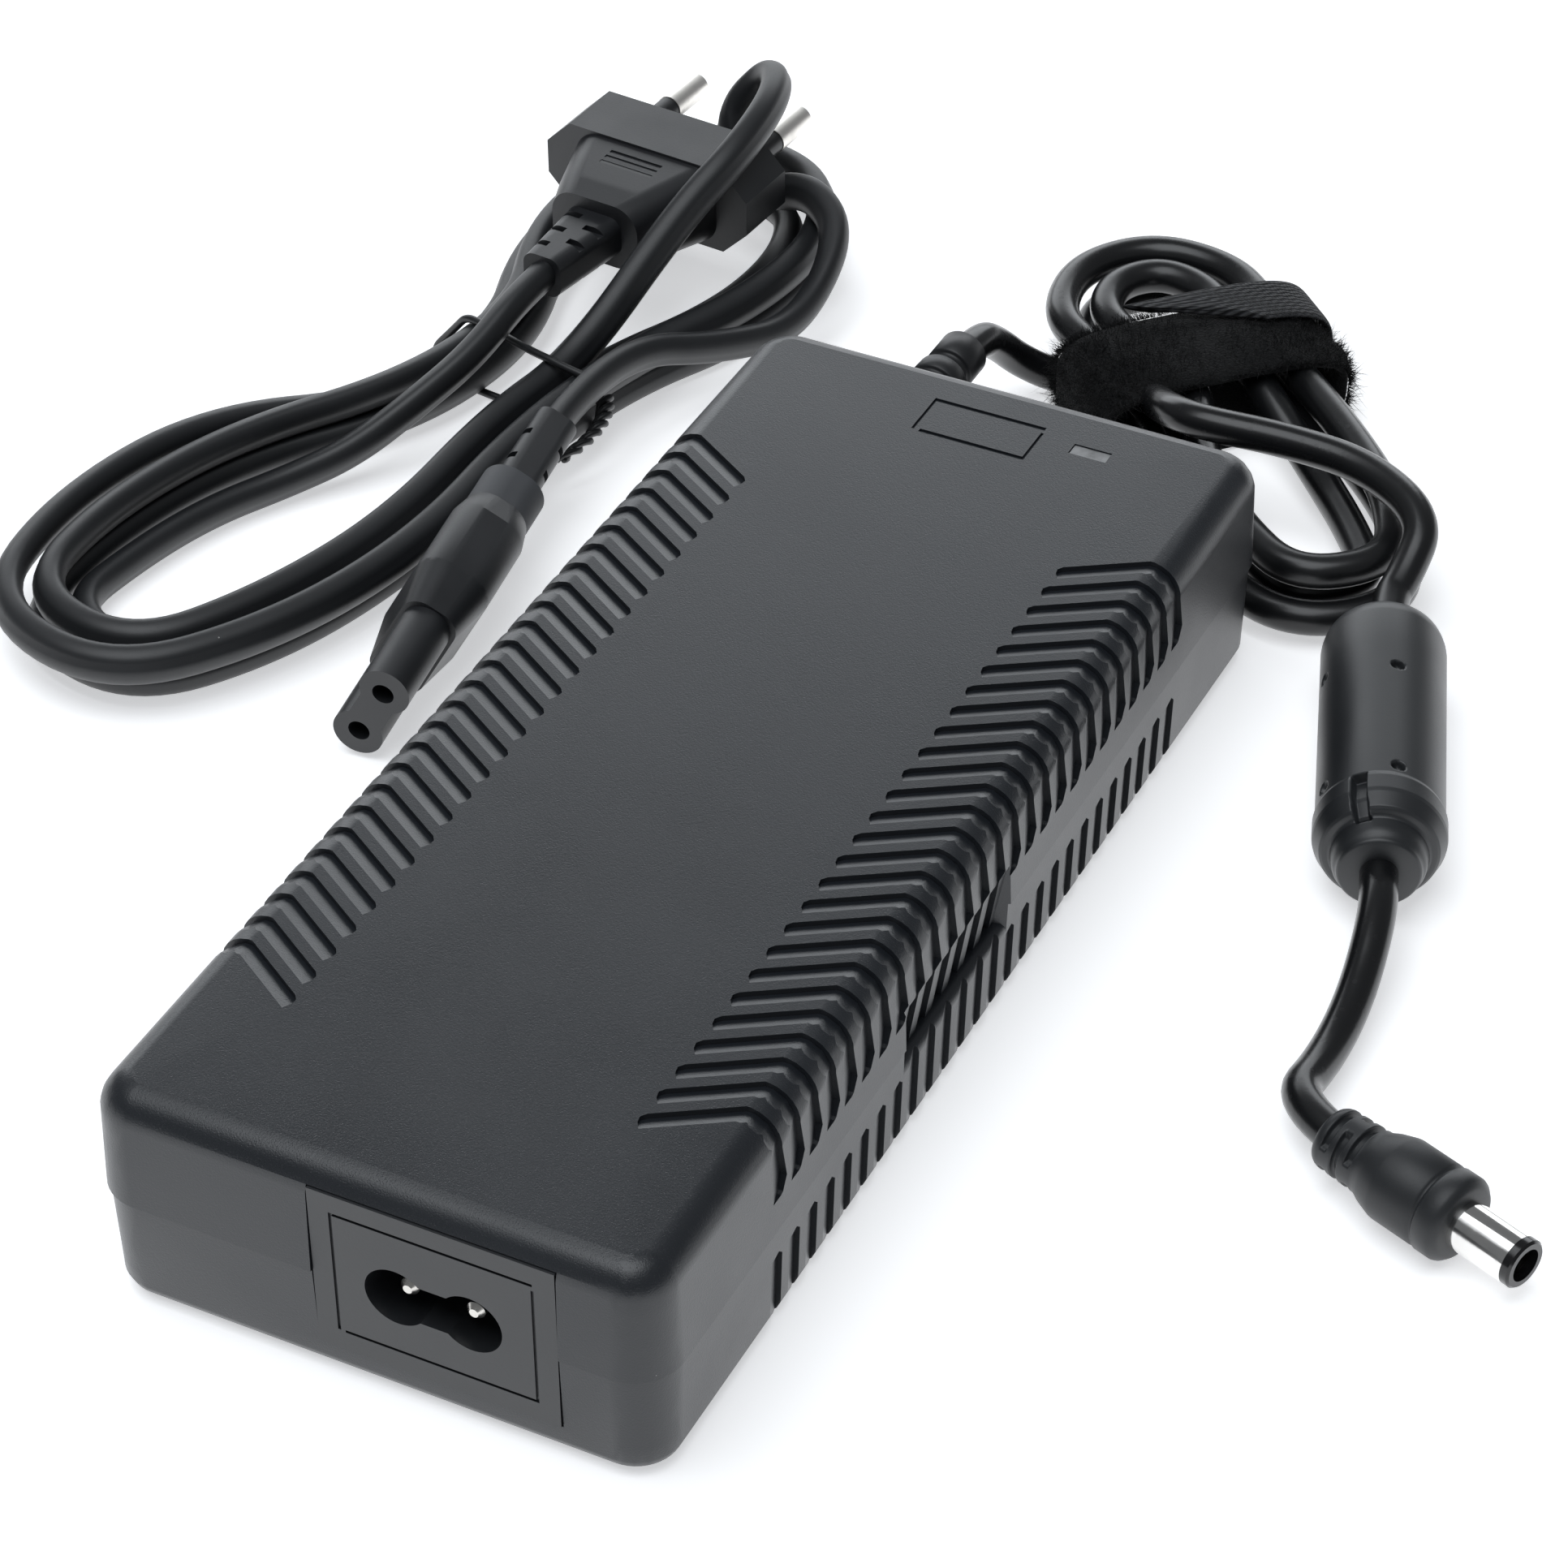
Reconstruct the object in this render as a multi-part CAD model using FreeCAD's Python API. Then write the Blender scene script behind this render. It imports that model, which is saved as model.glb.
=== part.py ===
# Laptop power adapter: a two-shell brick with a figure-8 inlet, an attached low-voltage cord with ferrite
# sleeve and barrel plug, and a bundled two-pin mains lead. Millimetres, +Z up, +Y from the inlet end to the
# cord end, origin at the bottom centre of the brick.
import FreeCAD
import Part
import math
import os

V = FreeCAD.Vector
UP = V(0, 0, 1)

# Brick shells
LENGTH = 178.0
WIDTH = 75.0
HEIGHT = 32.0
SEAM_HEIGHT = 16.2
SHELL_LEAN = 0.5
SEAM_STEP = 0.3
WALL = 2.2
CORNER_RADIUS = 6.3
TOP_EDGE_RADIUS = 4.5
BOTTOM_EDGE_RADIUS = 3.4
TOP_EDGE_FACETS = 5
BOTTOM_EDGE_FACETS = 3
LIP_HEIGHT = 1.6
LIP_THICKNESS = 1.0
LIP_CLEARANCE = 0.1

# Slots over the long edges
SLOT_COUNT = 26
SLOT_PITCH = 4.64
SLOT_CENTRE = 0.5
SLOT_WIDTH = 2.8
SLOT_DEPTH = 0.75
SLOT_SPARE = 0.3
SLOT_DRIFT = 0.12
SLOT_END_RADIUS = 1.2
TOP_SLOT_REACH = 14.2
TOP_SLOT_SLANT = 0.64
TOP_SLOT_FOOT = 20.8
LOWER_SLOT_TOP = 11.8
LOWER_SLOT_BEVEL = 0.9
SLOT_FACETS = 2

# Where the low-voltage cord leaves the brick's end, and where the loose mains lead is drawn together
CORD_END = V(0, LENGTH / 2, 0)
MAINS_WAIST = V(-81, 94, 0)

# Grip recess in the middle of each long side
GRIP_START = -24.5
GRIP_END = 4.6
GRIP_TOP = 22.6
GRIP_STEP = 0.5
GRIP_STEP_HEIGHT = 1.2
GRIP_DEPTH = 1.5
GRIP_LEDGE = 13.3
GRIP_END_SLOPE = 1.2
GRIP_PAD_REACH = 3.0

# Figure-8 inlet
INLET_X = 8.6
INLET_Z = 16.6
PLATE_LEFT = -7.1
PLATE_RIGHT = 24.6
PLATE_BOTTOM = 5.1
PLATE_TOP = 29.2
PLATE_GAP = 0.15
PLATE_THICKNESS = 3.4
PLATE_SETBACK = 0.35
SOCKET_DEPTH = 14.5
SOCKET_WALL = 1.6
RECESS_WIDTH = 17.8
RECESS_HEIGHT = 8.2
RECESS_DEPTH = 12.5
RECESS_NOTCH = 1.3
INLET_PIN_SPACING = 8.6
INLET_PIN_DIAMETER = 2.36
INLET_ROOT_DIAMETER = 1.8
INLET_PIN_SETBACK = 1.7
PANEL_LINE_WIDTH = 0.4
PANEL_LINE_DEPTH = 0.3
PANEL_INSET = 2.9
INLET_TAIL_REACH = 4.0

# Frame mark and lamp window on the top
MARK_LEFT = -7.9
MARK_WIDTH = 16.2
MARK_HEIGHT = 7.5
MARK_INSET = 9.1
MARK_LINE = 0.7
MARK_SIDE_LINE = 0.4
MARK_DEPTH = 0.35
MARK_GAP = 1.0
LENS_X = 15.9
LENS_INSET = 11.6
LENS_LENGTH = 5.2
LENS_WIDTH = 2.1
LENS_CLEARANCE = 0.1

# Inside of the brick
POST_HEIGHT = 4.0
POST_SIZE = 4.0
BOARD_THICKNESS = 1.6
BOARD_EDGE_GAP = 0.4
BOARD_START_INSET = 17.0
BOARD_END_INSET = 5.0
SHEET_THICKNESS = 0.4
SHEET_INSET = 7.0
SHEET_END_INSET = 4.0
FUSE_DIAMETER = 8.5
FUSE_HEIGHT = 8.0
X_CAPACITOR = (18.0, 8.5, 14.0)
CHOKE_OUTER = 18.0
CHOKE_INNER = 8.0
CHOKE_THICKNESS = 9.0
BULK_CAPACITOR_DIAMETER = 18.0
BULK_CAPACITOR_LENGTH = 38.0
HEATSINK_THICKNESS = 2.0
HEATSINK_HEIGHT = 19.0
HEATSINK_LENGTH = 46.0
POWER_PACKAGE = (4.5, 10.2, 15.5)
POWER_SCREW_DIAMETER = 3.0
POWER_SCREW_HEAD = 5.6
POWER_LEAD_LENGTH = 2.5
POWER_LEAD_PITCH = 2.5
CORE_SIZE = (32.0, 30.0, 20.0)
CORE_POST_DIAMETER = 12.0
CORE_YOKE = 5.5
CORE_LEG = 4.5
OUTPUT_CAPACITOR_DIAMETER = 10.0
OUTPUT_CAPACITOR_HEIGHT = 17.0
OUTPUT_CAPACITOR_COUNT = 3
OPTOCOUPLER = (6.5, 4.6, 3.5)
LAMP = (3.0, 1.5, 1.1)
BRIDGE = (3.6, 15.0, 12.0)
PART_GAP = 0.3


def inside(across, along):
    """Place on the board, given as shares of the brick's width and length from its middle."""
    return across * WIDTH, along * LENGTH


FUSE_PLACE = inside(0.36, -0.35)
X_CAPACITOR_PLACE = inside(0.08, -0.34)
CHOKE_PLACE = inside(-0.27, -0.325)
BRIDGE_PLACE = inside(-0.19, -0.2)
BULK_PLACE = inside(0.28, -0.175)
PRIMARY_HEATSINK_PLACE = inside(-0.36, -0.06)
CORE_PLACE = inside(0.04, 0.08)
OPTOCOUPLER_PLACE = inside(-0.27, 0.135)
SECONDARY_HEATSINK_PLACE = inside(0.3, 0.26)
OUTPUT_PLACE = inside(-0.32, 0.28)

# Low-voltage cord exit
RELIEF_X = -19.0
RELIEF_WALL = WALL + SEAM_STEP + SHELL_LEAN / 2
RELIEF_LENGTH = 24.7
RELIEF_NECK = 4.2
RELIEF_COLLAR = 5.4
RELIEF_COLLAR_THICKNESS = 2.0
RELIEF_HOLE_CLEARANCE = 0.15
RELIEF_TIP = 3.6
RELIEF_RIBS = 4
RELIEF_BORE_DEPTH = 6.0
WIRE_DIAMETER = 1.8
WIRE_REACH = 8.0

# Ferrite sleeve
FERRITE_TOP = CORD_END + V(56.5, -3.8, 8.75)
FERRITE_BOTTOM = CORD_END + V(73.5, -49.8, 8.75)
FERRITE_RADIUS = 8.4
FERRITE_SHOULDER_RADIUS = 8.7
FERRITE_DOME = 3.5
FERRITE_BOSS_RADIUS = 6.2
FERRITE_BOSS_LENGTH = 5.0
FERRITE_SHOULDER = 5.0
FERRITE_HOLE_RADIUS = 0.6
FERRITE_HOLE_SIDES = 8
FERRITE_CORE_RADIUS = 7.0
FERRITE_CORE_LENGTH = 30.0
CORE_CLEARANCE = 0.3
FERRITE_HOLES_ALONG = (9.0, 36.0)
FERRITE_HOLES_AROUND = (-14.0, 30.0)
FERRITE_NOTCH = (4.0, 1.4, 1.2)
FERRITE_NOTCH_AROUND = 8.0

# Barrel plug
PLUG_TIP = CORD_END + V(113.5, -105.9, 6.1)
PLUG_TOWARD = V(0.934, -0.357, 0).normalize()
BARREL_RADIUS = 3.25
BARREL_BORE = 2.2
BARREL_LENGTH = 9.5
BARREL_SEAT = 5.0
BARREL_ROOT_RADIUS = 2.9
BARREL_TIP_LENGTH = 1.3
BARREL_TIP_BEVEL = 0.3
CENTRE_PIN_RADIUS = 0.5
DC_BODY_RADIUS = 5.7
DC_BODY_LENGTH = 14.0
DC_RELIEF_LENGTH = 7.0
DC_RELIEF_RADIUS = 4.3
DC_PLUG_BORE = 6.0

# Figure-8 connector of the mains lead
NOSE_END = MAINS_WAIST + V(22.5, -82, 0)
CONNECTOR_TOWARD = V(-0.11, 0.994, 0).normalize()
CONNECTOR_TILT = -61.0
CONNECTOR_PITCH = 0.06
NOSE_WIDTH = 16.6
NOSE_THICKNESS = 7.2
NOSE_LENGTH = 14.0
NOSE_NOTCH = 1.1
CONTACT_HOLE_RADIUS = 1.55
CONTACT_DEPTH = 12.0
CONTACT_WALL = 0.35
GRIP_WIDTH = 19.5
GRIP_THICKNESS = 11.0
GRIP_LENGTH = 26.0
BAND_LENGTH = 6.5
BAND_WIDTH = 14.0
BAND_THICKNESS = 9.5
BAND_DEPTH = 1.0
CONNECTOR_RELIEF_LENGTH = 18.0
CONNECTOR_RELIEF_WIDTH = 8.5
CONNECTOR_RELIEF_TIP = 6.4
CONNECTOR_RELIEF_THICKNESS = 6.4
RELIEF_SLOT_COUNT = 5
RELIEF_SLOT_WIDTH = 1.3
RELIEF_SPINE = 4.7
CORD_SEAT = 5.0

# Two-pin mains plug
PLUG_FACE = MAINS_WAIST + V(2.6, 48, 17.6)
MAINS_PLUG_TOWARD = V(0.09, 0.996, 0).normalize()
PLUG_WIDTH = 35.3
PLUG_THICKNESS = 13.7
FLANGE_LENGTH = 11.0
PLUG_BODY_LENGTH = 25.0
PLUG_NECK_WIDTH = 15.0
PLUG_RELIEF_LENGTH = 14.0
PLUG_RELIEF_WIDTH = 9.5
PLUG_RELIEF_TIP = 6.5
PLUG_PIN_SPACING = 18.6
PLUG_PIN_RADIUS = 2.0
PLUG_PIN_LENGTH = 19.0
PLUG_SLEEVE_LENGTH = 10.0
PLUG_SLEEVE_RADIUS = 1.9
PLUG_PIN_SEAT = 6.0
PLUG_CORE_RADIUS = 1.3
PLUG_GRIP_WIDTH = 9.0
PLUG_GRIP_LINE = 1.4
PLUG_GRIP_COUNT = 5

# Cords
TURNED_SIDES = 24
INNER_SIDES = 12
DC_CORD_DIAMETER = 5.0
MAINS_CORD_DIAMETER = 4.5
CORD_SIDES = 6
HANK_CLEARANCE = 0.5

# Hank of the low-voltage cord, held by the strap
DC_WAIST = CORD_END + V(11, 48, 0)
DC_NEAR_LOBE = {"toward": V(0.66, -0.75, 0), "widest": 32, "half_width": 6.5, "end": 48}
DC_FAR_LOBE = {"toward": V(-0.784, 0.62, 0), "widest": 15, "half_width": 6.5, "end": 23}
DC_LOBE_STEP = 6.4
DC_WAIST_HALF_WIDTH = 3.2
DC_WAIST_STEP = 6.4
DC_HANK_LOOPS = 2.875
DC_TURN_BACK = 1.375
STRAP_THICKNESS = 1.2
STRAP_WIDTH = 18.0
STRAP_HALF_WIDTH = 18.1
STRAP_SHIFT = -2.5
STRAP_EASE = 0.1
DC_LOWER_LAYER = STRAP_THICKNESS + STRAP_EASE + DC_CORD_DIAMETER / 2
DC_UPPER_LAYER = DC_LOWER_LAYER + DC_CORD_DIAMETER + HANK_CLEARANCE

# Hank of the mains cord, held by the tie
MAINS_LOWER_LOBE = {"toward": V(-0.28, -0.96, 0), "widest": 55, "half_width": 11.2, "end": 80}
MAINS_UPPER_LOBE = {"toward": V(0.105, 0.994, 0), "widest": 42, "half_width": 11, "end": 59}
MAINS_LOBE_STEP = 6.0
MAINS_WAIST_HALF_WIDTH = 3.2
MAINS_WAIST_STEP = 5.4
MAINS_TURN_BACK = 2.0
MAINS_LOOPS = 3.375
TIE_THICKNESS = 0.8
TIE_WIDTH = 3.0
TIE_HALF_WIDTH = 15.3
TIE_SHIFT = -0.7
MAINS_LOWER_LAYER = TIE_THICKNESS + STRAP_EASE + MAINS_CORD_DIAMETER / 2
MAINS_UPPER_LAYER = MAINS_LOWER_LAYER + MAINS_CORD_DIAMETER + HANK_CLEARANCE

# Way points of the free stretches, chosen by hand between the ends of the hanks and the pieces they serve.
# Those of the low-voltage cord count from the brick's end, those of the mains cord from the waist of its hank.
DC_LEAD_POINTS = [V(-18.4, 34.8, 12), V(-16.5, 39, 7), V(-12.2, 41.8, 3.9), V(-6.1, 42.2, 3.8),
                  V(2.5, 39.2, 3.8), V(10, 30, 3.8)]
DC_LINK_POINTS = [V(12.3, 26.2, 14.6), V(18, 24, 15.6), V(30, 25.5, 15.4), V(43, 24.5, 15.4),
                  V(54.5, 17, 14.8), V(54.5, 9, 10.5)]
DC_TAIL_POINTS = [V(78, -69, 5), V(80, -81, 3.5)]
MAINS_PLUG_END_POINTS = [V(-3, -8, 13.5), V(-7, -18, 10), V(-12.5, -27, 5.5), V(-19, -35, 3.3)]
MAINS_OVER_POINTS = [V(13, 26, 22), V(17, 37, 27.5), V(16.5, 51, 29.5), V(11, 62, 27), V(4.4, 60.5, 20),
                     V(5.5, 56, 12.5), V(13, 52.5, 11), V(22, 52.5, 14.2), V(30.5, 45, 12), V(31, 28, 6),
                     V(25, 14, 9.5), V(17, 4, 13)]


def block(x0, x1, y0, y1, z0, z1):
    return Part.makeBox(x1 - x0, y1 - y0, z1 - z0, V(x0, y0, z0))


def polygon_face(points):
    return Part.Face(Part.makePolygon(points + points[:1]))


def line(start, end):
    return Part.LineSegment(start, end).toShape()


def arc(start, middle, end):
    return Part.Arc(start, middle, end).toShape()


def rounded_rectangle(half_x, half_y, radius, z):
    arcs = []
    for quarter, (sx, sy) in enumerate([(1, 1), (-1, 1), (-1, -1), (1, -1)]):
        centre = V(sx * (half_x - radius), sy * (half_y - radius), z)
        turn = math.radians(90 * quarter)
        arcs.append(Part.Arc(Part.Circle(centre, UP, radius), turn, turn + math.pi / 2))
    edges = []
    for this, following in zip(arcs, arcs[1:] + arcs[:1]):
        edges += [this.toShape(), line(this.EndPoint, following.StartPoint)]
    return Part.Wire(edges)


def rounded_block(half_x, half_y, z_wide, z_face, edge_radius, facets):
    """Block whose walls lean in toward its face and meet it in a ring of flat facets round the edge."""
    lean_angle = math.atan(SHELL_LEAN / abs(z_face - z_wide))
    away = 1 if z_wide > z_face else -1
    sections = [(0, z_wide)]
    for x, depth in reversed(edge_corners(edge_radius, lean_angle, facets)):
        sections.append((SHELL_LEAN - x, z_face + away * depth))
    wires = [rounded_rectangle(half_x - inset, half_y - inset, CORNER_RADIUS - inset, z) for inset, z in sections]
    return Part.makeLoft(wires, True, True)


def edge_corners(edge_radius, lean_angle, facets):
    """Corners of flat facets tangent to a rounded edge: offset from the sharp corner and depth under the face."""
    centre_x = -edge_radius * (1 - math.sin(lean_angle)) / math.cos(lean_angle)
    turn = (math.pi / 2 - lean_angle) / (facets + 1)
    reach = edge_radius / math.cos(turn / 2)
    angles = [turn * (index + 0.5) for index in range(facets + 1)]
    return [(centre_x + reach * math.sin(angle), edge_radius - reach * math.cos(angle)) for angle in angles]


def leaning_cavity(half_x, half_y, radius, z_wide, z_narrow, bevel):
    low = z_narrow + (bevel if z_wide > z_narrow else -bevel)
    sections = [(0, z_wide), (SHELL_LEAN, low), (SHELL_LEAN + bevel, z_narrow)]
    wires = [rounded_rectangle(half_x - inset, half_y - inset, radius - inset, z) for inset, z in sections]
    return Part.makeLoft(wires, True, True)


def shell_half(inset, z_face, edge_radius, facets):
    """One open shell from the seam to its flat face, with walls that lean in toward that face."""
    half_x = WIDTH / 2 - inset
    half_y = LENGTH / 2 - inset
    z_inner = z_face - WALL if z_face > SEAM_HEIGHT else z_face + WALL
    outside = rounded_block(half_x, half_y, SEAM_HEIGHT, z_face, edge_radius, facets)
    inside = leaning_cavity(half_x - WALL, half_y - WALL, CORNER_RADIUS - WALL, SEAM_HEIGHT, z_inner,
                            edge_radius / 2)
    return outside.cut(inside)


def bar(radius, length, start, toward, sides):
    """Straight bar with flat sides whose corners lie on a circle."""
    side = V(1, 0, 0) if abs(toward.x) < 0.9 else UP
    across = toward.cross(side)
    corners = []
    for index in range(sides):
        angle = 2 * math.pi * (index + 0.5) / sides
        corners.append(start + (side * math.cos(angle) + across * math.sin(angle)) * radius)
    return polygon_face(corners).extrude(toward * length)


def solid_between(first, last):
    """Solid with flat sides between two outlines of equally many corners."""
    faces = [polygon_face(first), polygon_face(last)]
    count = len(first)
    for i in range(count):
        j = (i + 1) % count
        faces.append(polygon_face([first[i], first[j], last[j], last[i]]))
    return Part.Solid(Part.Shell(faces))


def slot_floor_section(y, edge_radius, lean_angle, fall):
    """Outline of the slot floor at one place across the slot, a depth inside the rounded edge."""
    depth = SLOT_DEPTH * y / SLOT_WIDTH
    centre_x = -edge_radius * (1 - math.sin(lean_angle)) / math.cos(lean_angle)
    points = [V(centre_x, y, -depth)]
    for x, below in edge_corners(edge_radius, lean_angle, SLOT_FACETS):
        toward_centre = 1 - depth / edge_radius
        points.append(V(centre_x + (x - centre_x) * toward_centre, y,
                        (edge_radius - below) * toward_centre - edge_radius))
    drop = fall + points[-1].z
    points.append(V(points[-1].x + math.tan(lean_angle) * drop, y, -fall))
    points.append(V(centre_x, y, -fall))
    return points


def slot_tool(edge_radius, lean_angle, reach_in, slant, foot_drop, hooked):
    """Cutter for a slot that wraps an edge. Face at z = 0, sharp corner of face and side at x = 0, body
    toward -X and -Z. The floor is flush at y = 0 and sinks to SLOT_DEPTH at the step at y = SLOT_WIDTH."""
    over = SLOT_SPARE
    centre_x = -edge_radius * (1 - math.sin(lean_angle)) / math.cos(lean_angle)
    bulge = foot_drop * math.tan(lean_angle)
    drift = SLOT_DRIFT * (foot_drop - edge_radius) if hooked else 0
    fall = foot_drop + edge_radius
    floor = solid_between(slot_floor_section(-SLOT_SPARE, edge_radius, lean_angle, fall),
                          slot_floor_section(SLOT_WIDTH + drift + SLOT_SPARE, edge_radius, lean_angle, fall))
    step_y = SLOT_WIDTH + drift
    foot = [(step_y, 1.9), (step_y - 1.1, 0.2), (step_y - 1.6, 0)] if hooked else [(step_y, 0.7), (step_y - 0.7, 0)]
    outline = [V(centre_x, -SLOT_SPARE, over), V(centre_x, SLOT_WIDTH, over), V(centre_x, SLOT_WIDTH, -edge_radius)]
    outline += [V(centre_x, y, z - foot_drop) for y, z in foot]
    outline.append(V(centre_x, -SLOT_SPARE, -foot_drop))
    wrap = polygon_face(outline).extrude(V(bulge + over - centre_x, 0, 0)).cut(floor)

    along = V(-1, -slant, 0).normalize()
    across = V(along.y, -along.x, 0)
    span = (SLOT_WIDTH + SLOT_SPARE) * across.y
    reach = (reach_in + centre_x + across.x * span / 2) / -along.x
    origin = V(centre_x, -SLOT_SPARE, over)
    step = origin + V(0, SLOT_WIDTH + SLOT_SPARE, 0)
    far_step = origin + along * (reach - SLOT_END_RADIUS) + across * span
    corner = far_step - across * SLOT_END_RADIUS
    bevel = corner + (along + across) * (SLOT_END_RADIUS / math.sqrt(2))
    far = corner + along * SLOT_END_RADIUS
    outline = polygon_face([origin, step, far_step, bevel, far, origin + along * reach])
    rise = SLOT_DEPTH * SLOT_SPARE / SLOT_WIDTH
    section = polygon_face([origin, step, V(centre_x, SLOT_WIDTH, -SLOT_DEPTH), V(centre_x, -SLOT_SPARE, rise)])
    flat = section.extrude(along * (reach + span)).common(outline.extrude(V(0, 0, -SLOT_DEPTH - 2 * over)))
    return wrap, flat


def smooth_route(points, name):
    """Straight runs joined by tangent arcs, each as large as its two runs allow."""
    edges = []
    radii = []
    start = points[0]
    for before, here, after in zip(points, points[1:], points[2:]):
        back = before - here
        ahead = after - here
        reach = 0.45 * min(back.Length, ahead.Length)
        turn = math.pi - back.getAngle(ahead)
        radius = reach / math.tan(turn / 2)
        back.normalize()
        ahead.normalize()
        enter = here + back * reach
        leave = here + ahead * reach
        toward_centre = (back + ahead).normalize()
        middle = here + toward_centre * (radius / math.cos(turn / 2) - radius)
        edges += [line(start, enter), arc(enter, middle, leave)]
        radii.append(round(radius, 1))
        start = leave
    edges.append(line(start, points[-1]))
    print(name, "length", round(sum(edge.Length for edge in edges), 1), "radii", radii)
    return edges


def tube(edges, diameter, name):
    """Faceted tube along a path, with its volume compared with section times length."""
    start = edges[0].Vertexes[0].Point
    along = edges[0].tangentAt(edges[0].FirstParameter)
    side = UP if abs(along.z) < 0.9 else V(1, 0, 0)
    side = (side - along * side.dot(along)).normalize()
    across = along.cross(side)
    corners = []
    for index in range(CORD_SIDES):
        angle = 2 * math.pi * (index + 0.5) / CORD_SIDES
        corners.append(start + (side * math.cos(angle) + across * math.sin(angle)) * (diameter / 2))
    profile = Part.makePolygon(corners + corners[:1])
    solid = Part.Wire(edges).makePipeShell([profile], True, False)
    expected = Part.Face(profile).Area * sum(edge.Length for edge in edges)
    print(name, "valid", solid.isValid(), "volume over section times length", round(solid.Volume / expected, 4))
    return solid


def biarc(start, start_way, end, end_way):
    """Two arcs that leave one point along its direction and reach the other along its own."""
    chord = end - start
    ways = start_way + end_way
    spread = 4 - ways.dot(ways)
    if spread < 1e-6:
        reach = chord.dot(chord) / (4 * chord.dot(start_way))
    else:
        forward = chord.dot(ways)
        reach = (math.sqrt(forward ** 2 + spread * chord.dot(chord)) - forward) / spread
    first_corner = start + start_way * reach
    second_corner = end - end_way * reach
    joint = (first_corner + second_corner) * 0.5
    return [bulged_arc(start, first_corner, joint), bulged_arc(joint, second_corner, end)]


def bulged_arc(start, corner, end):
    middle = (start + end) * 0.5
    rise = corner - middle
    if rise.Length < 1e-4:
        return line(start, end)
    half = (end - start).Length / 2
    radius = half * (corner - start).Length / rise.Length
    sagitta = radius - math.sqrt(radius ** 2 - half ** 2)
    return arc(start, middle + rise.normalize() * sagitta, end)


def hank_edges(waist, lobes, steps, diameter, first_knot, loops, size_at, height_at, name):
    """Loops that lie the same way, drawn in at the waist. Eight knots a loop: on each lobe its widest place,
    its end and its widest place again, and the two sides of the waist. size_at gives how many steps out a
    knot lies, height_at its height."""
    near, far = lobes
    waist_half, waist_step, lobe_step = steps
    axis = (near["toward"] - far["toward"]).normalize()

    def knot(index):
        size = size_at(index / 8)
        place = (index + first_knot) % 8
        height = height_at(index)
        if place in (0, 4):
            side = -1 if place == 0 else 1
            way = axis * -side
            across = V(-axis.y, axis.x, 0) * side
            return waist + across * (waist_half + waist_step * size) + UP * height, way
        lobe, turn = (near, 1) if place < 4 else (far, -1)
        toward = lobe["toward"].normalize()
        across = V(-toward.y, toward.x, 0)
        step = place % 4 - 2
        if step == 0:
            return waist + toward * (lobe["end"] + lobe_step * size) + UP * height, across
        sidewise = across * (step * (lobe["half_width"] + lobe_step * size))
        return waist + toward * lobe["widest"] + sidewise + UP * height, toward * -step

    knots = [knot(index) for index in range(round(loops * 8) + 1)]
    first, first_way = knots[0]
    last, last_way = knots[-1]
    edges = [line(first - first_way * diameter, first)]
    for (start, start_way), (end, end_way) in zip(knots, knots[1:]):
        edges += biarc(start, start_way, end, end_way)
    edges.append(line(last, last + last_way * diameter))
    length = sum(edge.Length for edge in edges)
    print(name, "length", round(length, 1), "least gap to itself", round(least_gap(edges, diameter), 2))
    return edges


def least_gap(edges, diameter):
    """Smallest distance between stretches of the same tube that lie over three diameters apart along it."""
    points = []
    travelled = 0
    for edge in edges:
        count = max(2, int(edge.Length / 1.5))
        for index in range(count):
            points.append((travelled + edge.Length * index / count, edge.valueAt(
                edge.FirstParameter + (edge.LastParameter - edge.FirstParameter) * index / count)))
        travelled += edge.Length
    least = 1e9
    for index, (along, point) in enumerate(points):
        for other_along, other in points[index + 1:]:
            if other_along - along > 3 * diameter:
                least = min(least, point.distanceToPoint(other))
    return least - diameter


def mirrored(shape):
    return shape.mirror(V(0, 0, 0), V(1, 0, 0))


def on_both_sides(tools):
    return tools + [mirrored(tool) for tool in tools]


def half_side(z):
    """Half width of the outside of the brick at a height."""
    if z > SEAM_HEIGHT:
        return WIDTH / 2 - SHELL_LEAN * (z - SEAM_HEIGHT) / (HEIGHT - SEAM_HEIGHT)
    return WIDTH / 2 - SEAM_STEP - SHELL_LEAN * (SEAM_HEIGHT - z) / SEAM_HEIGHT


def slot_starts():
    middle = (SLOT_COUNT - 1) / 2
    return [SLOT_CENTRE + (index - middle) * SLOT_PITCH - SLOT_WIDTH for index in range(SLOT_COUNT)]


def in_grip(start):
    return GRIP_START < start and start + SLOT_WIDTH < GRIP_END


def straight_slot(start, x_high, z_high, x_low, z_low):
    """Slot cutter down a flat side, from one height to another, with its floor deepest at the step."""
    rise = SLOT_DEPTH * SLOT_SPARE / SLOT_WIDTH
    section = polygon_face([V(x_high + SLOT_SPARE, start - SLOT_SPARE, z_high),
                            V(x_high + SLOT_SPARE, start + SLOT_WIDTH, z_high),
                            V(x_high - SLOT_DEPTH, start + SLOT_WIDTH, z_high),
                            V(x_high + rise, start - SLOT_SPARE, z_high)])
    return section.extrude(V(x_low - x_high, 0, z_low - z_high))


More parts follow.
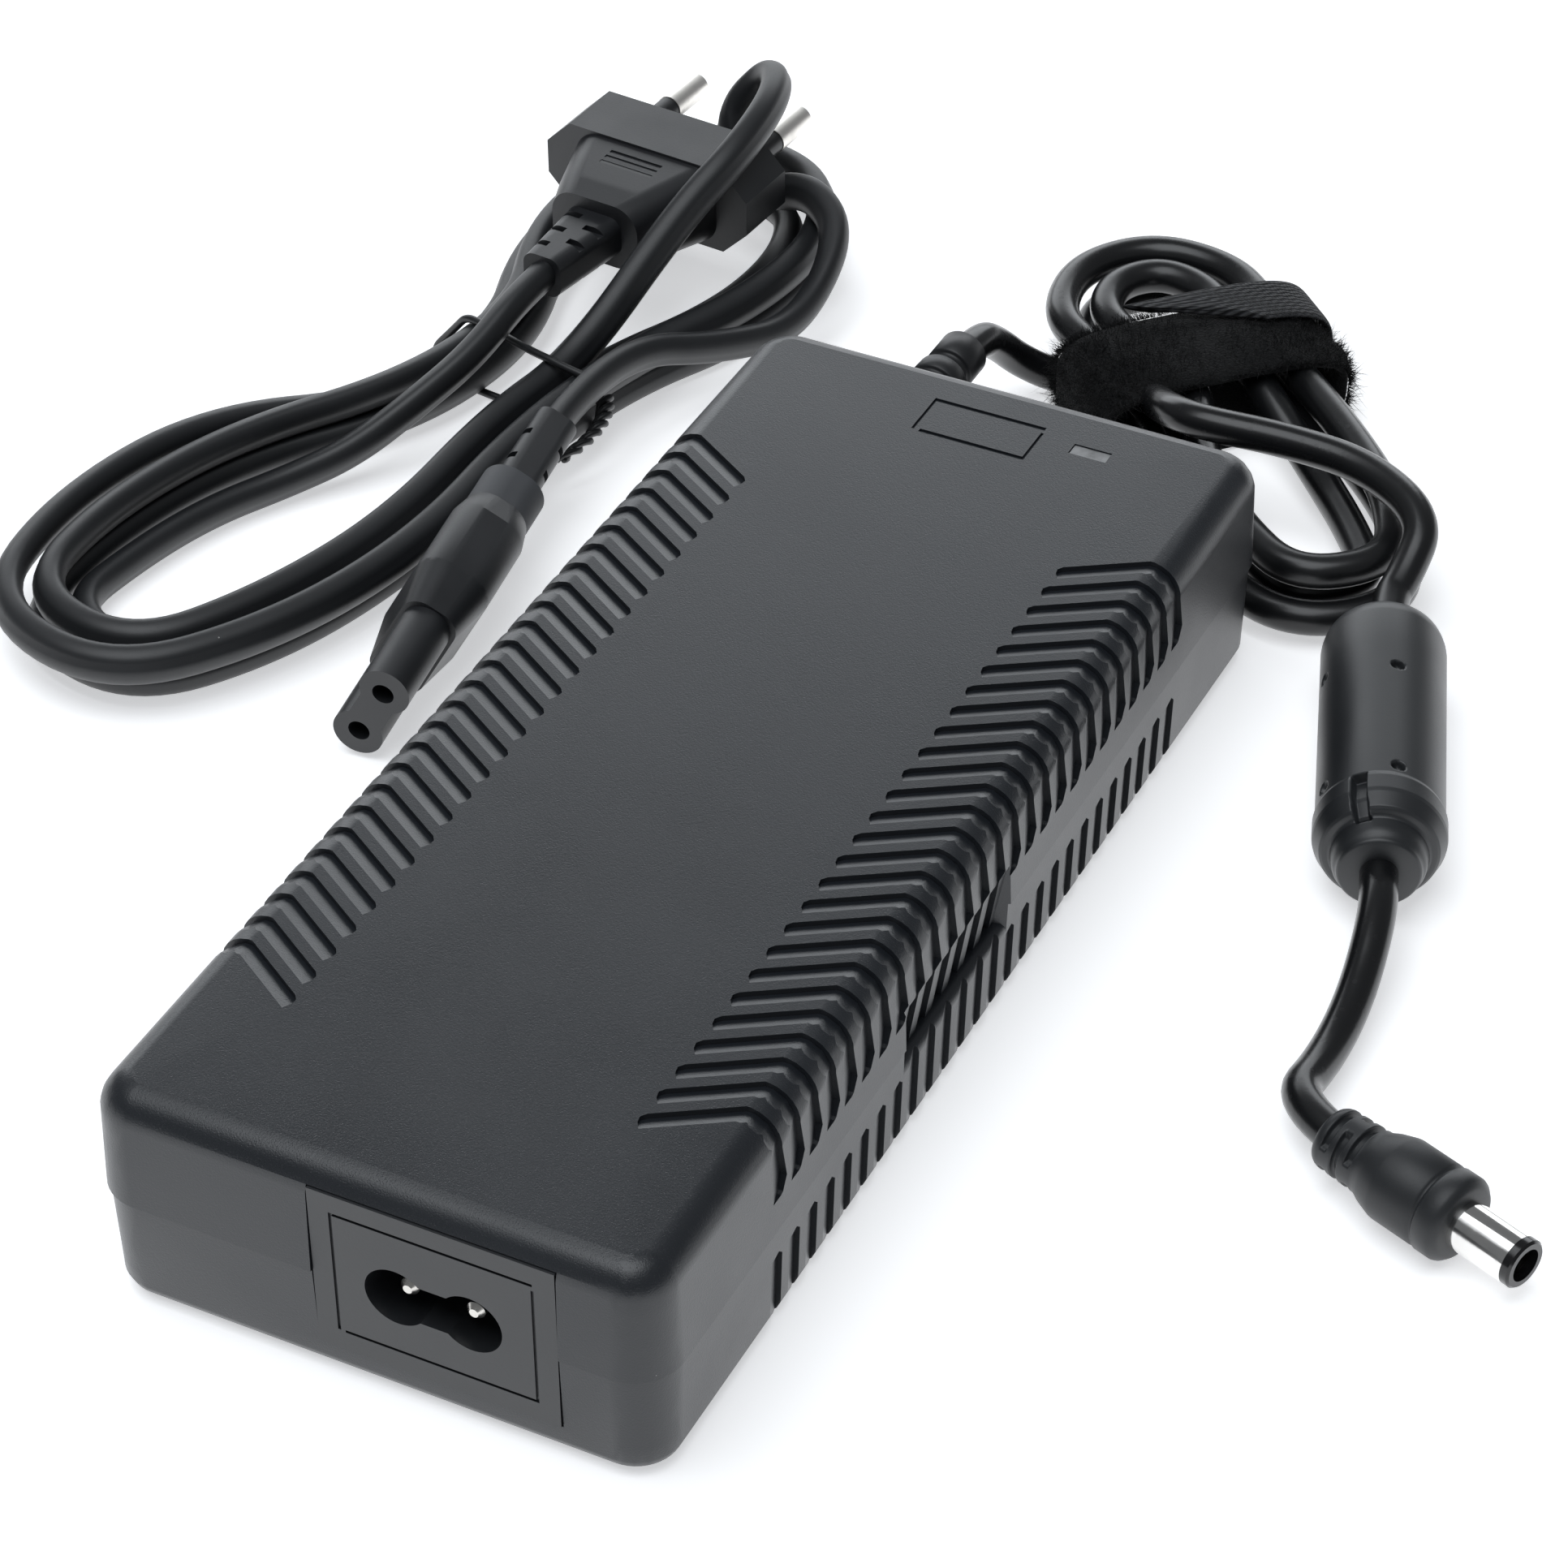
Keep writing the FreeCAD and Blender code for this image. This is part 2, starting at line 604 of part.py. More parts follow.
def grip_cutter():
    """Recess for the fingers: a short step in at the top, a leaning back and a rounded ledge below."""
    step_z = GRIP_TOP - GRIP_STEP_HEIGHT
    ledge_x = half_side(GRIP_LEDGE - GRIP_DEPTH)
    centre = V(ledge_x - GRIP_DEPTH, 0, GRIP_LEDGE - GRIP_DEPTH)
    diagonal = GRIP_DEPTH / math.sqrt(2)
    outer = WIDTH / 2 + 1
    top = V(half_side(GRIP_TOP), 0, GRIP_TOP)
    back = V(half_side(step_z) - GRIP_STEP, 0, step_z)
    ledge = centre + V(0, 0, GRIP_DEPTH)
    low = centre + V(GRIP_DEPTH, 0, 0)
    profile = Part.Face(Part.Wire([
        line(top, back), line(back, ledge), arc(ledge, centre + V(diagonal, 0, diagonal), low),
        line(low, V(outer, 0, low.z)), line(V(outer, 0, low.z), V(outer, 0, top.z)),
        line(V(outer, 0, top.z), top)]))
    profile.translate(V(0, GRIP_START - GRIP_END_SLOPE, 0))
    bar = profile.extrude(V(0, GRIP_END - GRIP_START + 2 * GRIP_END_SLOPE, 0))
    inner = ledge.x - 1
    plan = polygon_face([V(inner, GRIP_START + GRIP_END_SLOPE, 0), V(outer, GRIP_START - GRIP_END_SLOPE, 0),
                         V(outer, GRIP_END + GRIP_END_SLOPE, 0), V(inner, GRIP_END - GRIP_END_SLOPE, 0)])
    return bar.common(plan.extrude(V(0, 0, HEIGHT)))


def grip_slots():
    step_z = GRIP_TOP - GRIP_STEP_HEIGHT
    x_high = half_side(step_z) - GRIP_STEP
    x_low = half_side(GRIP_LEDGE - GRIP_DEPTH) - GRIP_DEPTH
    return [straight_slot(start, x_high, step_z, x_low, GRIP_LEDGE)
            for start in slot_starts() if in_grip(start)]


def top_slots():
    lean_angle = math.atan(SHELL_LEAN / (HEIGHT - SEAM_HEIGHT))
    wrap, flat = slot_tool(TOP_EDGE_RADIUS, lean_angle, TOP_SLOT_REACH, TOP_SLOT_SLANT,
                           HEIGHT - TOP_SLOT_FOOT, True)
    tool = wrap.fuse(flat).removeSplitter()
    return [tool.translated(V(half_side(HEIGHT), start, HEIGHT)) for start in slot_starts()]


def lower_slots():
    tools = []
    for start in slot_starts():
        top = GRIP_LEDGE + SLOT_SPARE if in_grip(start) else LOWER_SLOT_TOP
        step = start + SLOT_WIDTH
        wedge = straight_slot(start, half_side(top), top, half_side(0), 0)
        outline = polygon_face([V(0, start - 1, top - LOWER_SLOT_BEVEL), V(0, step - LOWER_SLOT_BEVEL, top),
                                V(0, step, top - LOWER_SLOT_BEVEL), V(0, step, 0), V(0, start - 1, 0)])
        tools.append(wedge.common(outline.extrude(V(WIDTH, 0, 0))))
    return tools


def seam_lip(clearance):
    """Ring that stands on the lower shell's rim and locates the upper shell, left out at the grips."""
    inset = WALL - LIP_THICKNESS
    outer_x = WIDTH / 2 - inset - SEAM_STEP + clearance
    outer_y = LENGTH / 2 - inset - SEAM_STEP + clearance
    shrink = LIP_THICKNESS + 2 * clearance
    radius = CORNER_RADIUS - inset
    height = LIP_HEIGHT + clearance
    outside = Part.Face(rounded_rectangle(outer_x, outer_y, radius, SEAM_HEIGHT)).extrude(UP * height)
    inside = Part.Face(rounded_rectangle(outer_x - shrink, outer_y - shrink, radius - shrink, SEAM_HEIGHT))
    ring = outside.cut(inside.extrude(UP * height))
    grips = block(-WIDTH, WIDTH, GRIP_START - GRIP_PAD_REACH + clearance, GRIP_END + GRIP_PAD_REACH - clearance,
                  SEAM_HEIGHT, HEIGHT)
    return ring.cut(grips)


def grip_pads(z_low, z_high):
    """Thicker wall behind each grip recess."""
    x_inner = half_side(0) - WALL - GRIP_DEPTH
    pad = block(x_inner, half_side(HEIGHT) - WALL + SLOT_SPARE, GRIP_START - GRIP_PAD_REACH + 0.5,
                GRIP_END + GRIP_PAD_REACH - 0.5, z_low, z_high)
    return on_both_sides([pad])


def plate_opening():
    near = -LENGTH / 2 - 1
    return block(PLATE_LEFT - PLATE_GAP, PLATE_RIGHT + PLATE_GAP, near, near + 1 + PLATE_THICKNESS + WALL,
                 PLATE_BOTTOM - PLATE_GAP, PLATE_TOP + PLATE_GAP)


def relief_hole():
    start = V(RELIEF_X, LENGTH / 2 - WALL - 3, SEAM_HEIGHT)
    return Part.makeCylinder(RELIEF_NECK + RELIEF_HOLE_CLEARANCE, WALL + 5, start, V(0, 1, 0))


def corner_grooves(x0, x1, y0, y1, gap, width, side_width, depth, face_z):
    """A frame of two L-shaped grooves that stop short of meeting each other. The ones along Y have the side
    width."""
    low = face_z - depth
    high = face_z + 1
    half = width / 2
    side = side_width / 2
    return [block(x0 - side, x0 + side, y0, y1 + half, low, high),
            block(x0 - side, x1, y1 - half, y1 + half, low, high),
            block(x0 + gap, x1 + side, y0 - half, y0 + half, low, high),
            block(x1 - side, x1 + side, y0 - half, y1 - gap, low, high)]


def mark_grooves():
    far = LENGTH / 2 - MARK_INSET
    return corner_grooves(MARK_LEFT, MARK_LEFT + MARK_WIDTH, far - MARK_HEIGHT, far, MARK_GAP, MARK_LINE,
                          MARK_SIDE_LINE, MARK_DEPTH, HEIGHT)


def make_top_shell():
    shell = shell_half(0, HEIGHT, TOP_EDGE_RADIUS, TOP_EDGE_FACETS)
    shell = shell.fuse(grip_pads(SEAM_HEIGHT, GRIP_TOP + 1))
    cutters = on_both_sides(top_slots() + grip_slots() + [grip_cutter()])
    cutters += mark_grooves()
    cutters += [seam_lip(LIP_CLEARANCE), plate_opening(), relief_hole(), lens_block(LENS_CLEARANCE, HEIGHT + 1)]
    return shell.cut(cutters)


def make_bottom_shell():
    shell = shell_half(SEAM_STEP, 0, BOTTOM_EDGE_RADIUS, BOTTOM_EDGE_FACETS)
    posts = [block(x - POST_SIZE / 2, x + POST_SIZE / 2, y - POST_SIZE / 2, y + POST_SIZE / 2, WALL / 2,
                   WALL + POST_HEIGHT) for x, y in post_places()]
    shell = shell.fuse(grip_pads(GRIP_LEDGE - 4, SEAM_HEIGHT) + posts + [seam_lip(0)])
    cutters = on_both_sides(lower_slots() + grip_slots() + [grip_cutter()])
    cutters += [plate_opening(), relief_hole()]
    return shell.cut(cutters)


def lens_y():
    return LENGTH / 2 - LENS_INSET


def lens_block(clearance, z_top):
    half_x = LENS_LENGTH / 2 + clearance
    half_y = LENS_WIDTH / 2 + clearance
    return block(LENS_X - half_x, LENS_X + half_x, lens_y() - half_y, lens_y() + half_y, HEIGHT - WALL - 1, z_top)


def board_top():
    return WALL + POST_HEIGHT + BOARD_THICKNESS


def board_half_width():
    return half_side(WALL + POST_HEIGHT) - WALL - BOARD_EDGE_GAP


def board_ends():
    return -LENGTH / 2 + BOARD_START_INSET, LENGTH / 2 - BOARD_END_INSET


def post_places():
    x = board_half_width() - POST_SIZE
    near, far = board_ends()
    return [(side * x, y) for side in (-1, 1) for y in (near + POST_SIZE, far - POST_SIZE)]


def make_indicator_lens():
    """Light pipe from the lamp up to the window, with a shoulder that stops under the shell."""
    z_lamp = board_top() + LAMP[2] + PART_GAP
    window = lens_block(0, HEIGHT - 0.15)
    half_x = LENS_LENGTH / 2 + 1
    half_y = LENS_WIDTH / 2 + 1
    shoulder = block(LENS_X - half_x, LENS_X + half_x, lens_y() - half_y, lens_y() + half_y,
                     HEIGHT - WALL - PART_GAP - 1, HEIGHT - WALL - PART_GAP)
    stem = block(LENS_X - LENS_WIDTH / 2, LENS_X + LENS_WIDTH / 2, lens_y() - LENS_WIDTH / 2,
                 lens_y() + LENS_WIDTH / 2, z_lamp, HEIGHT - WALL)
    return window.fuse([shoulder, stem])


def figure_eight(width, height, notch, y_start, length):
    """Two lobes along X joined at a waist that is lower by the notch on both sides, drawn along +Y."""
    radius = height / 2
    centre = (width - height) / 2
    lobes = [Part.makeCylinder(radius, length, V(side * centre, y_start, 0), V(0, 1, 0)) for side in (-1, 1)]
    waist = block(-centre, centre, y_start, y_start + length, -radius + notch, radius - notch)
    return waist.fuse(lobes)


def inlet_face():
    return -LENGTH / 2 + PLATE_SETBACK


def make_inlet_socket():
    face = inlet_face()
    plate = block(PLATE_LEFT, PLATE_RIGHT, face, face + PLATE_THICKNESS, PLATE_BOTTOM, PLATE_TOP)
    half_x = RECESS_WIDTH / 2 + SOCKET_WALL
    half_z = RECESS_HEIGHT / 2 + SOCKET_WALL
    cup = block(INLET_X - half_x, INLET_X + half_x, face, face + SOCKET_DEPTH, INLET_Z - half_z,
                INLET_Z + half_z)
    recess = figure_eight(RECESS_WIDTH, RECESS_HEIGHT, RECESS_NOTCH, face - 1, RECESS_DEPTH + 1)
    recess.translate(V(INLET_X, 0, INLET_Z))
    lines = corner_grooves(PLATE_LEFT + PANEL_INSET, PLATE_RIGHT - PANEL_INSET, PLATE_BOTTOM + PANEL_INSET,
                           PLATE_TOP - PANEL_INSET, PANEL_LINE_WIDTH * 2, PANEL_LINE_WIDTH, PANEL_LINE_WIDTH,
                           PANEL_LINE_DEPTH, 0)
    turned = [groove.rotated(V(0, 0, 0), V(1, 0, 0), 90).translated(V(0, face, 0)) for groove in lines]
    return plate.fuse(cup).cut([recess] + turned + inlet_pin_list())


def inlet_pin_list():
    """Each contact: the pin in the recess, a thinner root through its floor, and a tail down to the board."""
    face = inlet_face()
    floor = face + RECESS_DEPTH
    radius = INLET_PIN_DIAMETER / 2
    root_radius = INLET_ROOT_DIAMETER / 2
    end = face + SOCKET_DEPTH + INLET_TAIL_REACH
    pins = []
    for side in (-1, 1):
        x = INLET_X + side * INLET_PIN_SPACING / 2
        start = face + INLET_PIN_SETBACK
        rod = Part.makeCylinder(radius, floor - start, V(x, start, INLET_Z), V(0, 1, 0))
        tip = [edge for edge in rod.Edges if len(edge.Vertexes) == 1 and abs(edge.Vertexes[0].Y - start) < 1e-6]
        rod = rod.makeChamfer(radius * 0.5, tip)
        root = Part.makeCylinder(root_radius, end - floor + 1, V(x, floor - 1, INLET_Z), V(0, 1, 0))
        tail = block(x - radius / 2, x + radius / 2, end - radius, end, board_top(), INLET_Z)
        pins.append(rod.fuse([root, tail]))
    return pins


def ring(outer, inner, thickness, centre):
    disc = bar(outer / 2, thickness, centre, UP, INNER_SIDES)
    return disc.cut(bar(inner / 2, thickness, centre, UP, INNER_SIDES))


def standing_box(size, x, y, z):
    return block(x - size[0] / 2, x + size[0] / 2, y - size[1] / 2, y + size[1] / 2, z, z + size[2])


def heatsink(x, y):
    return standing_box((HEATSINK_THICKNESS, HEATSINK_LENGTH, HEATSINK_HEIGHT), x, y, board_top())


def power_package(x_heatsink, y):
    x = x_heatsink + HEATSINK_THICKNESS / 2 + POWER_PACKAGE[0] / 2
    body = standing_box(POWER_PACKAGE, x, y, board_top() + POWER_LEAD_LENGTH)
    leads = [standing_box((0.6, 0.8, POWER_LEAD_LENGTH), x, y + step * POWER_LEAD_PITCH, board_top())
             for step in (-1, 0, 1)]
    return body.fuse(leads).cut(power_screw(x_heatsink, y))


def power_screw(x_heatsink, y):
    z = board_top() + POWER_LEAD_LENGTH + POWER_PACKAGE[2] - POWER_SCREW_HEAD / 2 - 0.5
    start = V(x_heatsink - HEATSINK_THICKNESS / 2, y, z)
    reach = HEATSINK_THICKNESS + POWER_PACKAGE[0]
    shank = bar(POWER_SCREW_DIAMETER / 2, reach, start, V(1, 0, 0), INNER_SIDES)
    head = bar(POWER_SCREW_HEAD / 2, POWER_SCREW_HEAD / 3, start + V(reach, 0, 0), V(1, 0, 0), INNER_SIDES)
    return shank.fuse(head)


def make_transformer_core(x, y):
    z = board_top()
    width, depth, height = CORE_SIZE
    whole = standing_box(CORE_SIZE, x, y, z)
    window = standing_box((width - 2 * CORE_LEG, depth - 2 * CORE_YOKE, height), x, y, z)
    return whole.cut(window).fuse(core_post(x, y, CORE_POST_DIAMETER / 2))


def core_post(x, y, radius):
    length = CORE_SIZE[1] - 2 * CORE_YOKE
    return bar(radius, length, V(x, y - length / 2, board_top() + CORE_SIZE[2] / 2), V(0, 1, 0), INNER_SIDES)


def make_transformer_winding(x, y):
    length = CORE_SIZE[1] - 2 * CORE_YOKE - 2 * PART_GAP
    start = V(x, y - length / 2, board_top() + CORE_SIZE[2] / 2)
    outer = bar(CORE_SIZE[2] / 2, length, start, V(0, 1, 0), INNER_SIDES)
    return outer.cut(bar(CORE_POST_DIAMETER / 2 + PART_GAP, length, start, V(0, 1, 0), INNER_SIDES))


def make_output_leads():
    """Two conductors from the strain relief's inner end down to the board."""
    wires = []
    y_end = LENGTH / 2 - RELIEF_WALL - RELIEF_COLLAR_THICKNESS - RELIEF_HOLE_CLEARANCE
    for side in (-1, 1):
        x = RELIEF_X + side * WIRE_DIAMETER * 0.75
        route = [V(x, y_end, SEAM_HEIGHT), V(x, y_end - WIRE_REACH, SEAM_HEIGHT),
                 V(x, y_end - WIRE_REACH, board_top())]
        wires.append(tube(smooth_route(route, "output_leads"), WIRE_DIAMETER, "output_leads"))
    return Part.makeCompound(wires)


def revolved(profile, centre, toward, outward=False):
    """Turned solid with flat sides from (distance along, radius) points, on an axis that leaves centre along
    toward. A cutter is turned outward, so that its flats and not its corners lie at the radius."""
    swell = 1 / math.cos(math.pi / TURNED_SIDES) if outward else 1
    faces = []
    for (along, radius), (next_along, next_radius) in zip(profile, profile[1:] + profile[:1]):
        if radius == 0 and next_radius == 0:
            continue
        for side in range(TURNED_SIDES):
            corners = []
            for place_along, place_radius, turn in ((along, radius, side), (along, radius, side + 1),
                                                    (next_along, next_radius, side + 1),
                                                    (next_along, next_radius, side)):
                angle = 2 * math.pi * turn / TURNED_SIDES
                reach = place_radius * swell
                corner = V(reach * math.cos(angle), place_along, reach * math.sin(angle))
                if not corners or corner.distanceToPoint(corners[-1]) > 1e-7:
                    corners.append(corner)
            if corners[0].distanceToPoint(corners[-1]) < 1e-7:
                corners.pop()
            faces.append(polygon_face(corners))
    solid = Part.Solid(Part.Shell(faces))
    if solid.Volume < 0:
        solid.reverse()
    return place(solid, centre, toward)


def place(shape, origin, toward, roll=0):
    """Moves a shape made along +Y at the origin: +Y turns to the given direction, after a roll about it."""
    across = toward.cross(UP).normalize()
    turned = FreeCAD.Rotation(across, toward, across.cross(toward), "YXZ")
    turned = turned.multiply(FreeCAD.Rotation(V(0, 1, 0), roll))
    moved = shape.copy()
    moved.Placement = FreeCAD.Placement(origin, turned).multiply(moved.Placement)
    return moved


def make_dc_strain_relief():
    """Moulded grommet: a collar inside the wall, a neck through it and a ribbed taper outside."""
    neck_start = -RELIEF_WALL - RELIEF_HOLE_CLEARANCE
    collar_start = neck_start - RELIEF_COLLAR_THICKNESS
    profile = [(collar_start, 0), (collar_start, RELIEF_COLLAR), (neck_start, RELIEF_COLLAR),
               (neck_start, RELIEF_NECK), (RELIEF_HOLE_CLEARANCE, RELIEF_NECK),
               (RELIEF_HOLE_CLEARANCE, RELIEF_COLLAR)]
    pitch = (RELIEF_LENGTH - 4) / RELIEF_RIBS
    for rib in range(RELIEF_RIBS):
        start = 2.0 + rib * pitch
        radius = RELIEF_COLLAR + (RELIEF_TIP - RELIEF_COLLAR) * (rib + 1) / RELIEF_RIBS
        profile += [(start, radius + 0.3), (start, radius - 0.7), (start + pitch * 0.35, radius - 0.7),
                    (start + pitch * 0.35, radius)]
    profile += [(RELIEF_LENGTH, RELIEF_TIP), (RELIEF_LENGTH, 0)]
    centre = V(RELIEF_X, LENGTH / 2, SEAM_HEIGHT)
    body = revolved(profile, centre, V(0, 1, 0))
    start = RELIEF_LENGTH - RELIEF_BORE_DEPTH
    cord = DC_CORD_DIAMETER / 2
    bore = revolved([(start, 0), (start, cord), (RELIEF_LENGTH + 1, cord), (RELIEF_LENGTH + 1, 0)], centre,
                    V(0, 1, 0), True)
    return body.cut(bore)


def ferrite_axis():
    toward = FERRITE_BOTTOM - FERRITE_TOP
    return toward.Length, toward.normalize()


def make_ferrite_housing():
    length, toward = ferrite_axis()
    bore = DC_CORD_DIAMETER / 2 / math.cos(math.pi / TURNED_SIDES)
    shoulder = length - FERRITE_BOSS_LENGTH - FERRITE_SHOULDER
    dome = [(0, bore), (0, FERRITE_RADIUS - FERRITE_DOME)]
    for step in range(1, 4):
        angle = math.pi / 2 * step / 4
        dome.append((FERRITE_DOME * (1 - math.cos(angle)), FERRITE_RADIUS - FERRITE_DOME * (1 - math.sin(angle))))
    profile = dome + [(FERRITE_DOME, FERRITE_RADIUS), (shoulder - 3, FERRITE_RADIUS),
                      (shoulder - 3, FERRITE_SHOULDER_RADIUS), (shoulder + 1, FERRITE_SHOULDER_RADIUS),
                      (length - FERRITE_BOSS_LENGTH, FERRITE_BOSS_RADIUS + 1.2),
                      (length - FERRITE_BOSS_LENGTH, FERRITE_BOSS_RADIUS), (length, FERRITE_BOSS_RADIUS - 0.6),
                      (length, bore)]
    body = revolved(profile, FERRITE_TOP, toward)
    start = (length - FERRITE_CORE_LENGTH) / 2
    cavity = [(start - CORE_CLEARANCE, bore), (start - CORE_CLEARANCE, FERRITE_CORE_RADIUS + CORE_CLEARANCE),
              (start + FERRITE_CORE_LENGTH + CORE_CLEARANCE, FERRITE_CORE_RADIUS + CORE_CLEARANCE),
              (start + FERRITE_CORE_LENGTH + CORE_CLEARANCE, bore)]
    cutters = [revolved(cavity, FERRITE_TOP, toward, True)]
    for along in FERRITE_HOLES_ALONG:
        for around in FERRITE_HOLES_AROUND:
            hole = bar(FERRITE_HOLE_RADIUS, 2, V(0, along, FERRITE_RADIUS - 0.8), UP, FERRITE_HOLE_SIDES)
            cutters.append(place(hole, FERRITE_TOP, toward, around))
    notch = block(-FERRITE_NOTCH[0] / 2, FERRITE_NOTCH[0] / 2, shoulder - FERRITE_NOTCH[1] + 2, shoulder + 2,
                  FERRITE_RADIUS - FERRITE_NOTCH[2], FERRITE_RADIUS + 2)
    cutters.append(place(notch, FERRITE_TOP, toward, FERRITE_NOTCH_AROUND))
    return body.cut(cutters)


def make_ferrite_core():
    length, toward = ferrite_axis()
    start = (length - FERRITE_CORE_LENGTH) / 2
    bore = DC_CORD_DIAMETER / 2 + PART_GAP
    end = start + FERRITE_CORE_LENGTH
    return revolved([(start, bore), (start, FERRITE_CORE_RADIUS), (end, FERRITE_CORE_RADIUS), (end, bore)],
                    FERRITE_TOP, toward)


def plug_start():
    return PLUG_TIP - PLUG_TOWARD * (BARREL_LENGTH + DC_BODY_LENGTH + DC_RELIEF_LENGTH)


def make_dc_plug_body():
    """Grip with a stepped ring near the barrel and a slotted relief at the cord."""
    back = DC_RELIEF_LENGTH
    front = DC_RELIEF_LENGTH + DC_BODY_LENGTH
    cord = DC_CORD_DIAMETER / 2
    wide = DC_BODY_RADIUS
    profile = [(0, 0), (0, DC_RELIEF_RADIUS - 0.7), (0.8, DC_RELIEF_RADIUS - 0.2), (back, DC_RELIEF_RADIUS),
               (back + 1.2, wide - 0.8), (back + 3.5, wide - 0.1), (front - 4.2, wide - 0.1),
               (front - 4.2, wide - 0.5), (front - 3.6, wide - 0.5), (front - 3.6, wide), (front - 1, wide),
               (front, wide - 0.9), (front, 0)]
    body = revolved(profile, plug_start(), PLUG_TOWARD)
    cutters = [revolved([(0, 0), (0, cord), (DC_PLUG_BORE, cord), (DC_PLUG_BORE, 0)], plug_start(), PLUG_TOWARD,
                        True),
               revolved([(front - BARREL_SEAT, 0), (front - BARREL_SEAT, BARREL_ROOT_RADIUS),
                         (front + 1, BARREL_ROOT_RADIUS), (front + 1, 0)], plug_start(), PLUG_TOWARD, True)]
    for step in range(3):
        along = 1.6 + step * 1.9
        slot = block(-DC_BODY_RADIUS, DC_BODY_RADIUS, along, along + 0.9, DC_RELIEF_RADIUS - 1, DC_BODY_RADIUS)
        for turn in (0, 180):
            cutters.append(place(slot, plug_start(), PLUG_TOWARD, 90 * (step % 2) + turn))
    return body.cut(cutters)


def turned_rod(start, end, radius):
    """True cylinder on the barrel's axis, between two places counted from the front of the grip."""
    base = plug_start() + PLUG_TOWARD * (DC_RELIEF_LENGTH + DC_BODY_LENGTH + start)
    return Part.makeCylinder(radius, end - start, base, PLUG_TOWARD)


def make_dc_plug_barrel():
    """Metal barrel with a thinner root that is held in the grip."""
    end = BARREL_LENGTH - BARREL_TIP_LENGTH
    barrel = turned_rod(0, end, BARREL_RADIUS).fuse(turned_rod(-BARREL_SEAT, 1, BARREL_ROOT_RADIUS))
    return barrel.cut(turned_rod(-BARREL_SEAT, end, BARREL_BORE))


def make_dc_plug_tip():
    """Insulating ring at the barrel's end, flush with it and bevelled at its mouth."""
    start = BARREL_LENGTH - BARREL_TIP_LENGTH
    rod = turned_rod(start, BARREL_LENGTH, BARREL_RADIUS)
    mouth = max((edge for edge in rod.Edges if len(edge.Vertexes) == 1),
                key=lambda edge: edge.Vertexes[0].Point.dot(PLUG_TOWARD))
    return rod.makeChamfer(BARREL_TIP_BEVEL, [mouth]).cut(turned_rod(start, BARREL_LENGTH, BARREL_BORE))


def rounded_section(half_x, half_z, radius, y):
    wire = rounded_rectangle(half_x, half_z, radius, 0)
    wire.rotate(V(0, 0, 0), V(1, 0, 0), 90)
    wire.translate(V(0, y, 0))
    return wire


def stepped_loft(sections):
    """Ruled body along +Y through rounded sections (half width, half thickness, corner radius, place)."""
    return Part.makeLoft([rounded_section(*section) for section in sections], True, True)


def place_connector(shape):
    placed = place(shape, V(0, 0, 0), connector_toward(), CONNECTOR_TILT)
    return placed.translated(connector_origin())


def connector_toward():
    return (CONNECTOR_TOWARD + UP * CONNECTOR_PITCH).normalize()


def connector_origin():
    """Nose end, at the height where the grip stands on the floor on its narrow edge."""
    turned = place(connector_grip(), V(0, 0, 0), connector_toward(), CONNECTOR_TILT)
    nose = place(connector_nose(), V(0, 0, 0), connector_toward(), CONNECTOR_TILT)
    return NOSE_END - UP * min(turned.BoundBox.ZMin, nose.BoundBox.ZMin)


def connector_nose():
    return figure_eight(NOSE_WIDTH, NOSE_THICKNESS, NOSE_NOTCH, 0, NOSE_LENGTH)


def connector_grip():
    start = NOSE_LENGTH
    end = NOSE_LENGTH + GRIP_LENGTH
    wide, thick = GRIP_WIDTH / 2, GRIP_THICKNESS / 2
    return stepped_loft([(NOSE_WIDTH / 2 + 0.3, NOSE_THICKNESS / 2 + 0.5, 3, start), (wide, thick, 4, start + 8),
                         (wide, thick, 4, end - 6), (BAND_WIDTH / 2, BAND_THICKNESS / 2, 4, end)])


def make_connector_body():
    end = NOSE_LENGTH + GRIP_LENGTH
    relief_start = end + BAND_LENGTH
    relief_end = relief_start + CONNECTOR_RELIEF_LENGTH
    core = stepped_loft([(BAND_WIDTH / 2 - BAND_DEPTH, BAND_THICKNESS / 2 - BAND_DEPTH, 3, end - 1),
                         (BAND_WIDTH / 2 - BAND_DEPTH, BAND_THICKNESS / 2 - BAND_DEPTH, 3, relief_start)])
    relief = stepped_loft([(CONNECTOR_RELIEF_WIDTH / 2, CONNECTOR_RELIEF_THICKNESS / 2, 2, relief_start),
                           (CONNECTOR_RELIEF_TIP / 2, CONNECTOR_RELIEF_TIP / 2, 2, relief_end)])
    body = connector_nose().fuse([connector_grip(), core, relief])
    cutters = []
    for side in (-1, 1):
        mouth = V(side * INLET_PIN_SPACING / 2, -1, 0)
        cutters.append(Part.makeCylinder(CONTACT_HOLE_RADIUS, CONTACT_DEPTH + 1, mouth, V(0, 1, 0)))
    cutters += relief_slots(relief_start, CONNECTOR_RELIEF_LENGTH, CONNECTOR_RELIEF_WIDTH,
                            CONNECTOR_RELIEF_THICKNESS)
    bore = bar(MAINS_CORD_DIAMETER / 2, CORD_SEAT, V(0, relief_end - CORD_SEAT, 0), V(0, 1, 0), INNER_SIDES)
    return place_connector(body.cut(cutters + [bore]))


